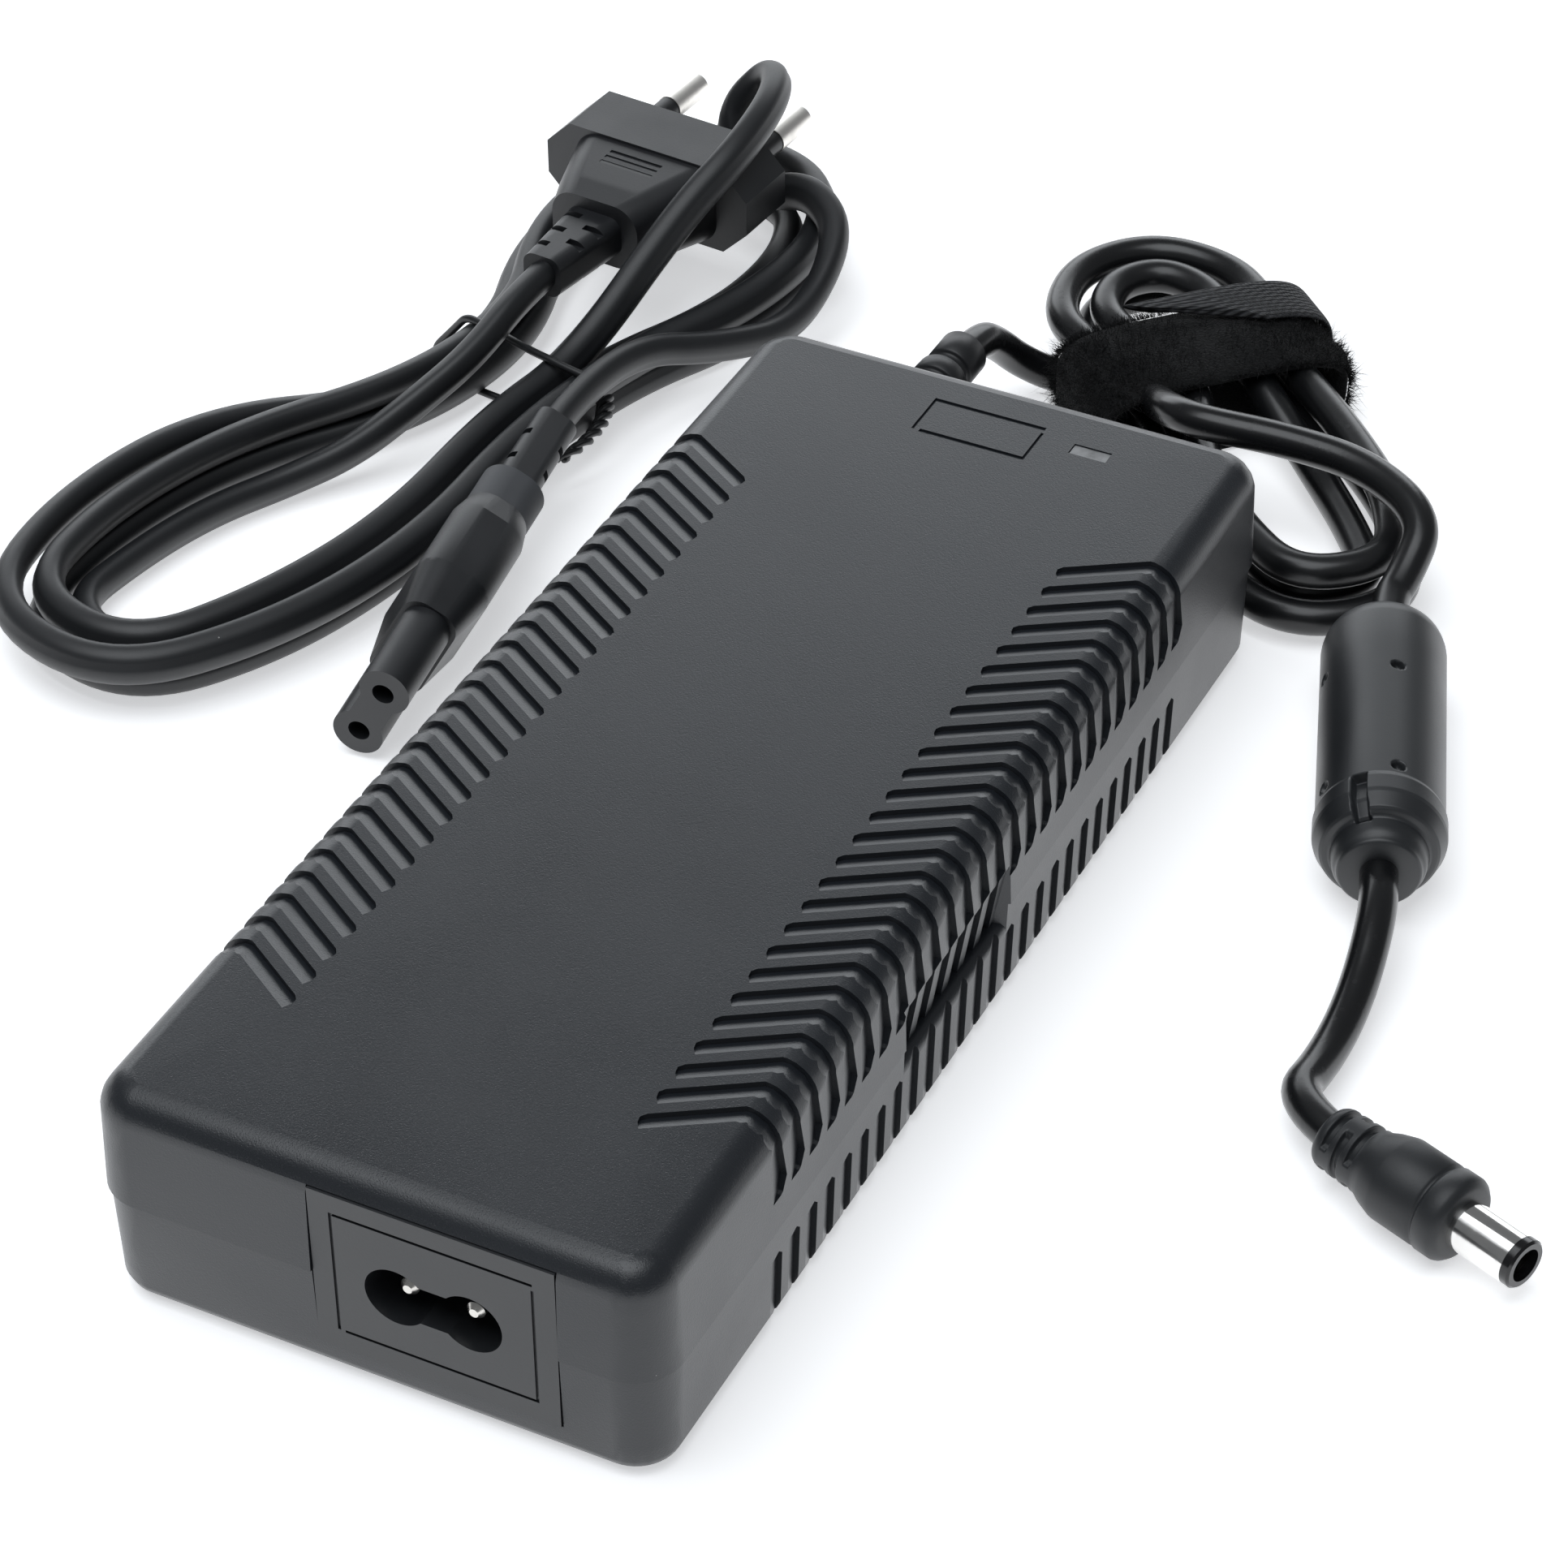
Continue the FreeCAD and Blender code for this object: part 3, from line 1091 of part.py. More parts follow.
def relief_slots(start, length, width, thickness):
    """Slots cut into a strain relief from alternate sides, through its full thickness."""
    slots = []
    pitch = length / (RELIEF_SLOT_COUNT + 1)
    for index in range(RELIEF_SLOT_COUNT):
        side = 1 if index % 2 else -1
        y = start + pitch * (index + 0.75)
        near, far = sorted((side * width * 0.1, side * width))
        for low, high in ((RELIEF_SPINE / 2, thickness), (-thickness, -RELIEF_SPINE / 2)):
            slots.append(block(near, far, y, y + RELIEF_SLOT_WIDTH, low, high))
    return slots


def make_connector_band():
    start = NOSE_LENGTH + GRIP_LENGTH
    end = start + BAND_LENGTH
    half_x, half_z = BAND_WIDTH / 2, BAND_THICKNESS / 2
    sleeve = stepped_loft([(half_x, half_z, 4, start), (half_x, half_z, 4, end)])
    half_x, half_z = half_x - BAND_DEPTH, half_z - BAND_DEPTH
    core = stepped_loft([(half_x, half_z, 3, start), (half_x, half_z, 3, end)])
    return place_connector(sleeve.cut(core))


def make_connector_contacts():
    tubes = []
    for side in (-1, 1):
        start = V(side * INLET_PIN_SPACING / 2, CONTACT_DEPTH / 3, 0)
        length = CONTACT_DEPTH * 2 / 3
        outer = Part.makeCylinder(CONTACT_HOLE_RADIUS, length, start, V(0, 1, 0))
        inner = Part.makeCylinder(CONTACT_HOLE_RADIUS - CONTACT_WALL, length, start, V(0, 1, 0))
        tubes.append(place_connector(outer.cut(inner)))
    return Part.makeCompound(tubes)


def connector_cord_end():
    along = NOSE_LENGTH + GRIP_LENGTH + BAND_LENGTH + CONNECTOR_RELIEF_LENGTH - CORD_SEAT
    return connector_origin() + connector_toward() * along, connector_toward()


def place_plug(shape):
    return place(shape, PLUG_FACE, MAINS_PLUG_TOWARD)


def make_plug_body():
    """Flat two-pin plug: a six-sided flange, a waisted grip and a slotted relief behind it."""
    half_x, half_z = PLUG_WIDTH / 2, PLUG_THICKNESS / 2
    bevel = PLUG_THICKNESS * 0.3
    outline = [V(half_x, 0, 0), V(half_x, 0, half_z - bevel), V(half_x - bevel, 0, half_z),
               V(-half_x + bevel, 0, half_z), V(-half_x, 0, half_z - bevel), V(-half_x, 0, -half_z + bevel),
               V(-half_x + bevel, 0, -half_z), V(half_x - bevel, 0, -half_z), V(half_x, 0, -half_z + bevel)]
    flange = polygon_face(outline).extrude(V(0, -FLANGE_LENGTH, 0))
    neck = PLUG_NECK_WIDTH / 2
    body = stepped_loft([(half_x - bevel * 1.2, half_z - 0.4, 4, -FLANGE_LENGTH + 1),
                         (neck + 1.5, half_z - 1, 4, -PLUG_BODY_LENGTH + 4), (neck, half_z - 1.6, 4, -PLUG_BODY_LENGTH)])
    relief_end = -PLUG_BODY_LENGTH - PLUG_RELIEF_LENGTH
    relief = stepped_loft([(PLUG_RELIEF_WIDTH / 2, PLUG_RELIEF_TIP / 2, 2, -PLUG_BODY_LENGTH + 1),
                           (PLUG_RELIEF_TIP / 2, PLUG_RELIEF_TIP / 2, 2, relief_end)])
    cutters = relief_slots(relief_end + 1, PLUG_RELIEF_LENGTH - 1, PLUG_RELIEF_WIDTH, PLUG_RELIEF_TIP)
    cutters += [block(-PLUG_GRIP_WIDTH / 2, PLUG_GRIP_WIDTH / 2, y, y + PLUG_GRIP_LINE / 2, half_z - 0.8, half_z + 1)
                for y in plug_grip_lines()]
    for side in (-1, 1):
        start = V(side * PLUG_PIN_SPACING / 2, -PLUG_PIN_SEAT, 0)
        cutters.append(bar(PLUG_SLEEVE_RADIUS, PLUG_PIN_SEAT + 1, start, V(0, 1, 0), INNER_SIDES * 2))
    cutters.append(bar(MAINS_CORD_DIAMETER / 2, CORD_SEAT, V(0, relief_end, 0), V(0, 1, 0), INNER_SIDES))
    return place_plug(flange.fuse([body, relief]).cut(cutters))


def plug_grip_lines():
    return [-FLANGE_LENGTH - 1.5 - PLUG_GRIP_LINE * (index + 1) for index in range(PLUG_GRIP_COUNT)]


def plug_pin_pair(start, end, inner, outer):
    pair = []
    for side in (-1, 1):
        base = V(side * PLUG_PIN_SPACING / 2, start, 0)
        rod = bar(outer, end - start, base, V(0, 1, 0), INNER_SIDES * 2)
        if inner:
            rod = rod.cut(bar(inner, end - start, base, V(0, 1, 0), INNER_SIDES))
        pair.append(rod)
    return pair


def make_plug_pins():
    cores = [bar(PLUG_CORE_RADIUS, PLUG_PIN_SEAT + PLUG_SLEEVE_LENGTH,
                 V(side * PLUG_PIN_SPACING / 2, -PLUG_PIN_SEAT, 0), V(0, 1, 0), INNER_SIDES) for side in (-1, 1)]
    tips = []
    for side in (-1, 1):
        base = V(side * PLUG_PIN_SPACING / 2, PLUG_SLEEVE_LENGTH, 0)
        rod = Part.makeCylinder(PLUG_PIN_RADIUS, PLUG_PIN_LENGTH - PLUG_SLEEVE_LENGTH, base, V(0, 1, 0))
        end = [edge for edge in rod.Edges if len(edge.Vertexes) == 1 and edge.Vertexes[0].Y > PLUG_PIN_LENGTH - 0.1]
        tips.append(rod.makeChamfer(PLUG_PIN_RADIUS * 0.45, end))
    return place_plug(Part.makeCompound([core.fuse(tip) for core, tip in zip(cores, tips)]))


def plug_cord_end():
    along = PLUG_BODY_LENGTH + PLUG_RELIEF_LENGTH - CORD_SEAT
    return PLUG_FACE - MAINS_PLUG_TOWARD.normalize() * along


def band_round(waist, axis, half_width, height, thickness, width, corner):
    """Closed flat band round a bundle that lies along an axis, with corners of the given inner radius."""
    middle = height / 2
    wide, high, outer = half_width + thickness, middle + thickness, corner + thickness
    sleeve = stepped_loft([(wide, high, outer, -width / 2), (wide, high, outer, width / 2)])
    bundle = stepped_loft([(half_width, middle, corner, -width / 2), (half_width, middle, corner, width / 2)])
    return place(sleeve.cut(bundle), waist + UP * high, axis)


def make_strap():
    axis = (DC_NEAR_LOBE["toward"] - DC_FAR_LOBE["toward"]).normalize()
    across = V(-axis.y, axis.x, 0)
    cord = DC_CORD_DIAMETER / 2
    height = DC_UPPER_LAYER + cord + STRAP_EASE - STRAP_THICKNESS
    return band_round(DC_WAIST + across * STRAP_SHIFT, axis, STRAP_HALF_WIDTH, height, STRAP_THICKNESS, STRAP_WIDTH,
                      cord)


def make_tie():
    axis = (MAINS_LOWER_LOBE["toward"] - MAINS_UPPER_LOBE["toward"]).normalize()
    across = V(-axis.y, axis.x, 0)
    cord = MAINS_CORD_DIAMETER / 2
    height = MAINS_UPPER_LAYER + cord + STRAP_EASE - TIE_THICKNESS
    return band_round(MAINS_WAIST + across * TIE_SHIFT, axis, TIE_HALF_WIDTH, height, TIE_THICKNESS, TIE_WIDTH, cord)


def dc_hank():
    def size_at(turns):
        return abs(turns - DC_TURN_BACK)

    def height_at(index):
        return DC_LOWER_LAYER if index < 8 * DC_TURN_BACK else DC_UPPER_LAYER

    steps = (DC_WAIST_HALF_WIDTH, DC_WAIST_STEP, DC_LOBE_STEP)
    return hank_edges(DC_WAIST, (DC_NEAR_LOBE, DC_FAR_LOBE), steps, DC_CORD_DIAMETER, 1, DC_HANK_LOOPS, size_at,
                      height_at, "dc_cord_hank")


def mains_hank():
    def size_at(turns):
        return min(turns, 2 * MAINS_TURN_BACK - turns)

    def height_at(index):
        return MAINS_LOWER_LAYER if index < 8 * MAINS_TURN_BACK else MAINS_UPPER_LAYER

    steps = (MAINS_WAIST_HALF_WIDTH, MAINS_WAIST_STEP, MAINS_LOBE_STEP)
    return hank_edges(MAINS_WAIST, (MAINS_LOWER_LOBE, MAINS_UPPER_LOBE), steps, MAINS_CORD_DIAMETER, 1, MAINS_LOOPS,
                      size_at, height_at, "mains_cord_hank")


def open_ends(edges):
    """Start and end of a path, each with the direction that leads away from the path."""
    first, last = edges[0], edges[-1]
    start = first.valueAt(first.FirstParameter)
    end = last.valueAt(last.LastParameter)
    return start, first.tangentAt(first.FirstParameter) * -1, end, last.tangentAt(last.LastParameter)


def counted_from(origin, points):
    return [origin + point for point in points]


def dc_lead_route(hank_start, away):
    relief_tip = CORD_END + V(RELIEF_X, RELIEF_LENGTH, SEAM_HEIGHT)
    leaving = [relief_tip - V(0, RELIEF_BORE_DEPTH, 0), relief_tip + V(0, 5, -0.4)]
    return leaving + counted_from(CORD_END, DC_LEAD_POINTS) + [hank_start + away * 10, hank_start]


def dc_link_route(hank_end, away):
    length, toward = ferrite_axis()
    ferrite = [FERRITE_TOP - toward * 8, FERRITE_BOTTOM]
    return [hank_end, hank_end + away * 4.5] + counted_from(CORD_END, DC_LINK_POINTS) + ferrite


def dc_tail_route():
    length, toward = ferrite_axis()
    plug = [plug_start() - PLUG_TOWARD * 9, plug_start() + PLUG_TOWARD * DC_PLUG_BORE]
    return [FERRITE_BOTTOM, FERRITE_BOTTOM + toward * 8] + counted_from(CORD_END, DC_TAIL_POINTS) + plug


def mains_plug_end_route(hank_start, away):
    start = plug_cord_end()
    leaving = start - MAINS_PLUG_TOWARD * (CORD_SEAT + 5)
    points = counted_from(MAINS_WAIST, MAINS_PLUG_END_POINTS)
    return [start, leaving] + points + [hank_start + away * 9, hank_start]


def mains_over_route(hank_end, away):
    end, toward = connector_cord_end()
    points = counted_from(MAINS_WAIST, MAINS_OVER_POINTS)
    return [hank_end, hank_end + away * 8] + points + [end + toward * (CORD_SEAT + 7), end]


def inner_parts():
    z = board_top()
    near, far = board_ends()
    board_side = board_half_width()
    sheet_side = board_side - SHEET_INSET
    board = block(-board_side, board_side, near, far, z - BOARD_THICKNESS, z)
    sheet = block(-sheet_side, sheet_side, near + SHEET_END_INSET, far - SHEET_END_INSET, WALL,
                  WALL + SHEET_THICKNESS)
    capacitor_radius = BULK_CAPACITOR_DIAMETER / 2
    bulk = bar(capacitor_radius, BULK_CAPACITOR_LENGTH,
               V(BULK_PLACE[0], BULK_PLACE[1] - BULK_CAPACITOR_LENGTH / 2, z + capacitor_radius), V(0, 1, 0),
               INNER_SIDES)
    outputs = [bar(OUTPUT_CAPACITOR_DIAMETER / 2, OUTPUT_CAPACITOR_HEIGHT,
                   V(OUTPUT_PLACE[0] + index * (OUTPUT_CAPACITOR_DIAMETER + 2), OUTPUT_PLACE[1], z), UP, INNER_SIDES)
               for index in range(OUTPUT_CAPACITOR_COUNT)]
    primary, secondary = PRIMARY_HEATSINK_PLACE, SECONDARY_HEATSINK_PLACE
    screws = [power_screw(*primary), power_screw(*secondary)]
    return {
        "circuit_board": board,
        "insulating_sheet": sheet,
        "inlet_fuse": bar(FUSE_DIAMETER / 2, FUSE_HEIGHT, V(FUSE_PLACE[0], FUSE_PLACE[1], z), UP, INNER_SIDES),
        "x_capacitor": standing_box(X_CAPACITOR, X_CAPACITOR_PLACE[0], X_CAPACITOR_PLACE[1], z),
        "filter_choke": ring(CHOKE_OUTER, CHOKE_INNER, CHOKE_THICKNESS, V(CHOKE_PLACE[0], CHOKE_PLACE[1], z)),
        "bridge_rectifier": standing_box(BRIDGE, BRIDGE_PLACE[0], BRIDGE_PLACE[1], z),
        "bulk_capacitor": bulk,
        "primary_heatsink": heatsink(*primary).cut(screws[0]),
        "secondary_heatsink": heatsink(*secondary).cut(screws[1]),
        "switching_transistor": power_package(*primary),
        "rectifier_diode": power_package(*secondary),
        "heatsink_screws": Part.makeCompound(screws),
        "transformer_core": make_transformer_core(*CORE_PLACE),
        "transformer_winding": make_transformer_winding(*CORE_PLACE),
        "output_capacitors": Part.makeCompound(outputs),
        "optocoupler": standing_box(OPTOCOUPLER, OPTOCOUPLER_PLACE[0], OPTOCOUPLER_PLACE[1], z),
        "indicator_lamp": standing_box(LAMP, LENS_X, lens_y(), z),
        "output_leads": make_output_leads(),
    }


def brick_parts():
    return {
        "top_shell": make_top_shell(),
        "bottom_shell": make_bottom_shell(),
        "inlet_socket": make_inlet_socket(),
        "inlet_pins": Part.makeCompound(inlet_pin_list()),
        "indicator_lens": make_indicator_lens(),
        "dc_strain_relief": make_dc_strain_relief(),
    }


def low_voltage_parts():
    hank = dc_hank()
    start, before, end, after = open_ends(hank)
    return {
        "dc_cord_lead": tube(smooth_route(dc_lead_route(start, before), "dc_cord_lead"), DC_CORD_DIAMETER,
                             "dc_cord_lead"),
        "dc_cord_hank": tube(hank, DC_CORD_DIAMETER, "dc_cord_hank"),
        "dc_cord_link": tube(smooth_route(dc_link_route(end, after), "dc_cord_link"), DC_CORD_DIAMETER,
                             "dc_cord_link"),
        "dc_cord_tail": tube(smooth_route(dc_tail_route(), "dc_cord_tail"), DC_CORD_DIAMETER, "dc_cord_tail"),
        "cable_strap": make_strap(),
        "ferrite_housing": make_ferrite_housing(),
        "ferrite_core": make_ferrite_core(),
        "dc_plug_body": make_dc_plug_body(),
        "dc_plug_barrel": make_dc_plug_barrel(),
        "dc_plug_tip": make_dc_plug_tip(),
        "dc_plug_pin": turned_rod(-BARREL_SEAT, BARREL_LENGTH - 2, CENTRE_PIN_RADIUS),
    }


def mains_parts():
    hank = mains_hank()
    start, before, end, after = open_ends(hank)
    return {
        "mains_cord_plug_end": tube(smooth_route(mains_plug_end_route(start, before), "mains_cord_plug_end"),
                                    MAINS_CORD_DIAMETER, "mains_cord_plug_end"),
        "mains_cord_hank": tube(hank, MAINS_CORD_DIAMETER, "mains_cord_hank"),
        "mains_cord_over": tube(smooth_route(mains_over_route(end, after), "mains_cord_over"), MAINS_CORD_DIAMETER,
                                "mains_cord_over"),
        "cable_tie": make_tie(),
        "plug_body": make_plug_body(),
        "plug_pins": make_plug_pins(),
        "plug_pin_sleeves": place_plug(Part.makeCompound(plug_pin_pair(-PLUG_PIN_SEAT, PLUG_SLEEVE_LENGTH,
                                                                       PLUG_CORE_RADIUS, PLUG_SLEEVE_RADIUS))),
        "connector_body": make_connector_body(),
        "connector_contacts": make_connector_contacts(),
        "connector_band": make_connector_band(),
    }


def main():
    os.makedirs("parts", exist_ok=True)
    for parts in (brick_parts(), inner_parts(), low_voltage_parts(), mains_parts()):
        for name, shape in parts.items():
            print(name, "valid", shape.isValid(), "solids", len(shape.Solids))
            shape.exportStep("parts/" + name + ".step")


main()
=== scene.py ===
import math

import bmesh
import bpy
import numpy as np
from mathutils import Matrix, Quaternion, Vector


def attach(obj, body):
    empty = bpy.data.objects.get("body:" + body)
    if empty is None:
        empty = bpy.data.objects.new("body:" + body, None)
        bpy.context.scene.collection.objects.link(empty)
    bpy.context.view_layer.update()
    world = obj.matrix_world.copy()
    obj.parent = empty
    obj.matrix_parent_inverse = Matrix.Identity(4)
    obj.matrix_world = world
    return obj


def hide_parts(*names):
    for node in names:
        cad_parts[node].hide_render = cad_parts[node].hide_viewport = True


# Laptop power adapter with its low-voltage cord gathered in a strap and its mains lead in a tie. Metres.
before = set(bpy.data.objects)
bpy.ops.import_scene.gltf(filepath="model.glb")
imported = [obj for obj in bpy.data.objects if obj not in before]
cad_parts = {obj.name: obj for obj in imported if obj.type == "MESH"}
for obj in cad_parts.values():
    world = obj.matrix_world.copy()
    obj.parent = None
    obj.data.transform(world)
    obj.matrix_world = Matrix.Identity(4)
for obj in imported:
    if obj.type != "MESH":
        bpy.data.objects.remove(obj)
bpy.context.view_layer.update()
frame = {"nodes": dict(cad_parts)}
nodes = frame["nodes"]
UP = Vector((0, 0, 1))
UPWARD = np.array(UP)
FULL_CIRCLE = 2 * math.pi

# Camera, as the photograph was taken
CAMERA_PLACE = Vector((0.21575, -0.41346, 0.40028))
CAMERA_LINE = Vector((-0.35104, 0.67274, -0.65129))
CAMERA_ROLL = math.radians(-0.92)
CAMERA_LENS = 110.29
CAMERA_SHIFT = (0.0386, 0.1000)

# Low-voltage cord: it runs from inside the strain relief through the hank and the ferrite sleeve to the plug
DC_DIAMETER = 0.005
RELIEF_TIP = Vector((-0.019, 0.1137, 0.0162))
RELIEF_DEPTH = 0.006
DC_LEAD = [(-0.019, 0.1187, 0.0158), (-0.0184, 0.1238, 0.012), (-0.0165, 0.128, 0.007),
           (-0.0122, 0.1308, 0.0039), (-0.0061, 0.1312, 0.0038), (0.0025, 0.1282, 0.0038),
           (0.010, 0.119, 0.0038)]
DC_LINK = [(0.0123, 0.1152, 0.0146), (0.018, 0.113, 0.0156), (0.030, 0.1145, 0.0154),
           (0.043, 0.1135, 0.0154), (0.0545, 0.106, 0.0148), (0.0545, 0.098, 0.0105)]
FERRITE_TOP = Vector((0.0565, 0.0852, 0.00875))
FERRITE_BOTTOM = Vector((0.0735, 0.0392, 0.00875))
FERRITE_LEAD = 0.008
DC_TAIL = [(0.0782, 0.020, 0.0050), (0.0785, 0.009, 0.0036)]
PLUG_TIP = Vector((0.1135, -0.0169, 0.0061))
PLUG_TOWARD = Vector((0.934, -0.357, 0)).normalized()
PLUG_LENGTH = 0.0305
PLUG_LEAD = 0.0075
PLUG_DEPTH = 0.006

# Its hank: two lobes that meet at a waist. Each lobe has a direction, the distance to its widest place, its
# half width there and its length, all for the smallest loop. A step is what each loop adds to the one inside.
DC_HANK = {"waist": Vector((0.011, 0.137, 0)), "run_on": DC_DIAMETER, "loops": 2.875, "turn_back": 1.375,
           "layers": (0.0038, 0.0093), "waist_half": 0.0032, "waist_step": 0.0064, "lobe_step": 0.0064,
           "lobes": ({"toward": Vector((0.66, -0.75, 0)), "widest": 0.032, "half_width": 0.0065,
                      "end": 0.048},
                     {"toward": Vector((-0.784, 0.62, 0)), "widest": 0.015, "half_width": 0.0065,
                      "end": 0.023})}

# Strap: a band of loop fabric, and the end of woven tape that overlaps it on the far side
STRAP_HALF_WIDTH = 0.0181
STRAP_SHIFT = -0.0025
STRAP_THICKNESS = 0.0013
STRAP_TOP = 0.0131
STRAP_SQUARENESS = 3.2
BAND_WAVER = 0.0003
PILE_BAND = (-0.0092, 0.0094)
PILE_PUFF = 0.0016
TAPE_BAND = (0.0005, 0.0104)
TAPE_THICKNESS = 0.0009
TAPE_LIFT = (0.0021, 0.0024)
TAPE_TURN = (math.radians(-64), math.radians(88))
TAPE_SLANT = math.radians(30)
TAPE_EDGE = 0.0004
FLOOR_GAP = 0.0001
PILE_FIBRES = 19500
PILE_LENGTH = 0.0019
PILE_ROOT_DEPTH = 0.0003
PILE_CLEAR_OF_FLOOR = 0.0010
FIBRE_RADIUS = 0.000045

# Mains lead: a flat two-core cord with a groove along each side, from the two-pin plug to the connector
MAINS_WIDTH = 0.0056
MAINS_THICKNESS = 0.0042
MAINS_GROOVE = {"depth": 0.07, "spread": 0.2}
MAINS_ROUNDING = 0.2
MAINS_LEAN = math.radians(24)
MAINS_PLUG_FACE = Vector((-0.0784, 0.142, 0.0176))
MAINS_PLUG_TOWARD = Vector((0.09, 0.996, 0)).normalized()
MAINS_PLUG_START = 0.034
MAINS_PLUG_LEAD = 0.010
MAINS_PLUG_END = [(-0.084, 0.086, 0.0135), (-0.088, 0.076, 0.010), (-0.0935, 0.067, 0.0055),
                  (-0.100, 0.059, 0.0033)]
MAINS_OVER = [(-0.068, 0.120, 0.022), (-0.064, 0.131, 0.0275), (-0.0645, 0.145, 0.0295),
              (-0.070, 0.156, 0.027), (-0.0766, 0.1545, 0.020), (-0.0755, 0.150, 0.0125),
              (-0.068, 0.1465, 0.011), (-0.059, 0.1465, 0.0142), (-0.0505, 0.139, 0.012),
              (-0.050, 0.122, 0.006), (-0.056, 0.108, 0.0095), (-0.064, 0.098, 0.013)]
CONNECTOR_END = Vector((-0.0653, 0.0736, 0.0127))
CONNECTOR_TOWARD = Vector((-0.11, 0.994, 0.06)).normalized()
CONNECTOR_LEAD = 0.007
CONNECTOR_DEPTH = 0.005
MAINS_HANK = {"waist": Vector((-0.081, 0.094, 0)), "run_on": 0.0045, "loops": 3.375, "turn_back": 2.0,
              "layers": (0.00315, 0.00815), "waist_half": 0.0032, "waist_step": 0.0054, "lobe_step": 0.006,
              "lobes": ({"toward": Vector((-0.28, -0.96, 0)), "widest": 0.055, "half_width": 0.0112,
                         "end": 0.080},
                        {"toward": Vector((0.105, 0.994, 0)), "widest": 0.042, "half_width": 0.011,
                         "end": 0.059})}

# Tie: a thin coated wire round the waist of the mains lead, its ends twisted together
TIE_HALF_WIDTH = 0.0160
TIE_TOP = 0.0113
TIE_WIRE = 0.0012
TIE_PRESS = 0.0002
TIE_DRIFT = 0.0009
TWIST_LENGTH = 0.0105
TWIST_TURNS = 3.5
TWIST_TOWARD = (0.55, -0.65, -0.30)
TWIST_CURL = (-1.0, -0.6, 0)

# Turned mouldings of the low-voltage cord, each a profile of (distance along, radius). Between its ends a
# profile gets the closer lines that its small dents need.
FERRITE_PROFILE = [(0, 0.0026), (0, 0.0049), (0.00013, 0.0060), (0.0005, 0.0070), (0.00114, 0.0077),
                   (0.0021, 0.0081), (0.0035, 0.0084), (0.0388, 0.0084), (0.0391, 0.0087),
                   (0.0424, 0.0087), (0.0450, 0.0076), (0.0452, 0.0064), (0.0476, 0.0060),
                   (0.0482, 0.0055), (0.04904, 0.0054), (0.04904, 0.0026)]
FERRITE_ENDS = (0.0004, 0.0485)
FERRITE_BEVEL = 0.0003
FERRITE_HOLES = [(0.0158, -10), (0.0370, -12), (0.0130, 70), (0.0370, 64)]
FERRITE_HOLE_RADIUS = 0.0008
FERRITE_HOLE_DEPTH = 0.0012
FERRITE_NOTCH = {"along": (0.0385, 0.0458), "around": 23, "half_width": 0.0010, "depth": 0.0016}
GRIP_PROFILE = [(0, 0.0026), (0, 0.0036), (0.0008, 0.0041), (0.0070, 0.0043), (0.0082, 0.0049),
                (0.0105, 0.0056), (0.0168, 0.0056), (0.0168, 0.0052), (0.0174, 0.0052), (0.0174, 0.0057),
                (0.0200, 0.0057), (0.0210, 0.0048), (0.0210, 0.0033)]
GRIP_ENDS = (0.0008, 0.0205)
GRIP_RINGS = (0.0020, 0.0039, 0.0058)
GRIP_RING_HALF_WIDTH = 0.00055
GRIP_RING_DEPTH = 0.0008
MOULD_BEVEL = 0.00025
RELIEF_PROFILE = [(-0.0049, 0), (-0.0049, 0.0054), (-0.0029, 0.0054), (-0.0029, 0.0042), (0.00015, 0.0042),
                  (0.00015, 0.0054)]
RELIEF_LENGTH = 0.0247
RELIEF_RIBS = 4
RELIEF_ROOT = 0.0020
RELIEF_RADIUS = 0.0054
RELIEF_TAPER = 0.0018
RELIEF_GROOVE = 0.0007

# Studio: the world's brightness as light on things, and that of the world and the floor as the camera sees
# them, straight and in a mirror
WORLD_LEVEL = 0.10
WORLD_SEEN = (1.0, 0.19)
FLOOR_GLOW = (0.55, 0.85)
FLOOR_SIDE = 3.0
LAMP_COLOUR = (0.93, 0.965, 1.0)
DUST_COLOUR = (0.32, 0.32, 0.31, 1)
FLOOR_DROP = 0.0001
SOFT_BOXES = {"box_above": {"place": (-0.10, -0.35, 1.5), "target": (0, 0.03, 0), "size": (1.4, 1.2),
                            "strength": 3.1},
              "box_behind": {"place": (-0.80, 1.45, 0.60), "target": (0, 0.05, 0), "size": (2.0, 0.85),
                             "strength": 2.5}}

# Rigid pieces whose rounded edges are shaded smoothly, the steepest step that is still a curve, and the
# shallowest step that is a ridge beside a vent slot
SAME_PLACE = 0.000002
SMOOTH_UP_TO = math.radians(33)
RIDGE_FROM = math.radians(8)
ROUNDED_PIECES = {"adapter": ["top_shell", "bottom_shell", "inlet_socket", "inlet_pins", "dc_plug_barrel",
                              "dc_plug_tip", "dc_plug_pin"],
                  "mains_lead": ["plug_body", "plug_pins", "plug_pin_sleeves", "connector_body",
                                 "connector_band"]}


def unit(vectors):
    """The same vectors, each made one long."""
    return vectors / np.linalg.norm(vectors, axis=-1, keepdims=True)


def sideways(way):
    """Level direction to the left of a level one."""
    return Vector((-way.y, way.x, 0))


def powered(values, power):
    """Values raised to a power, with their signs kept."""
    return np.sign(values) * np.abs(values) ** power


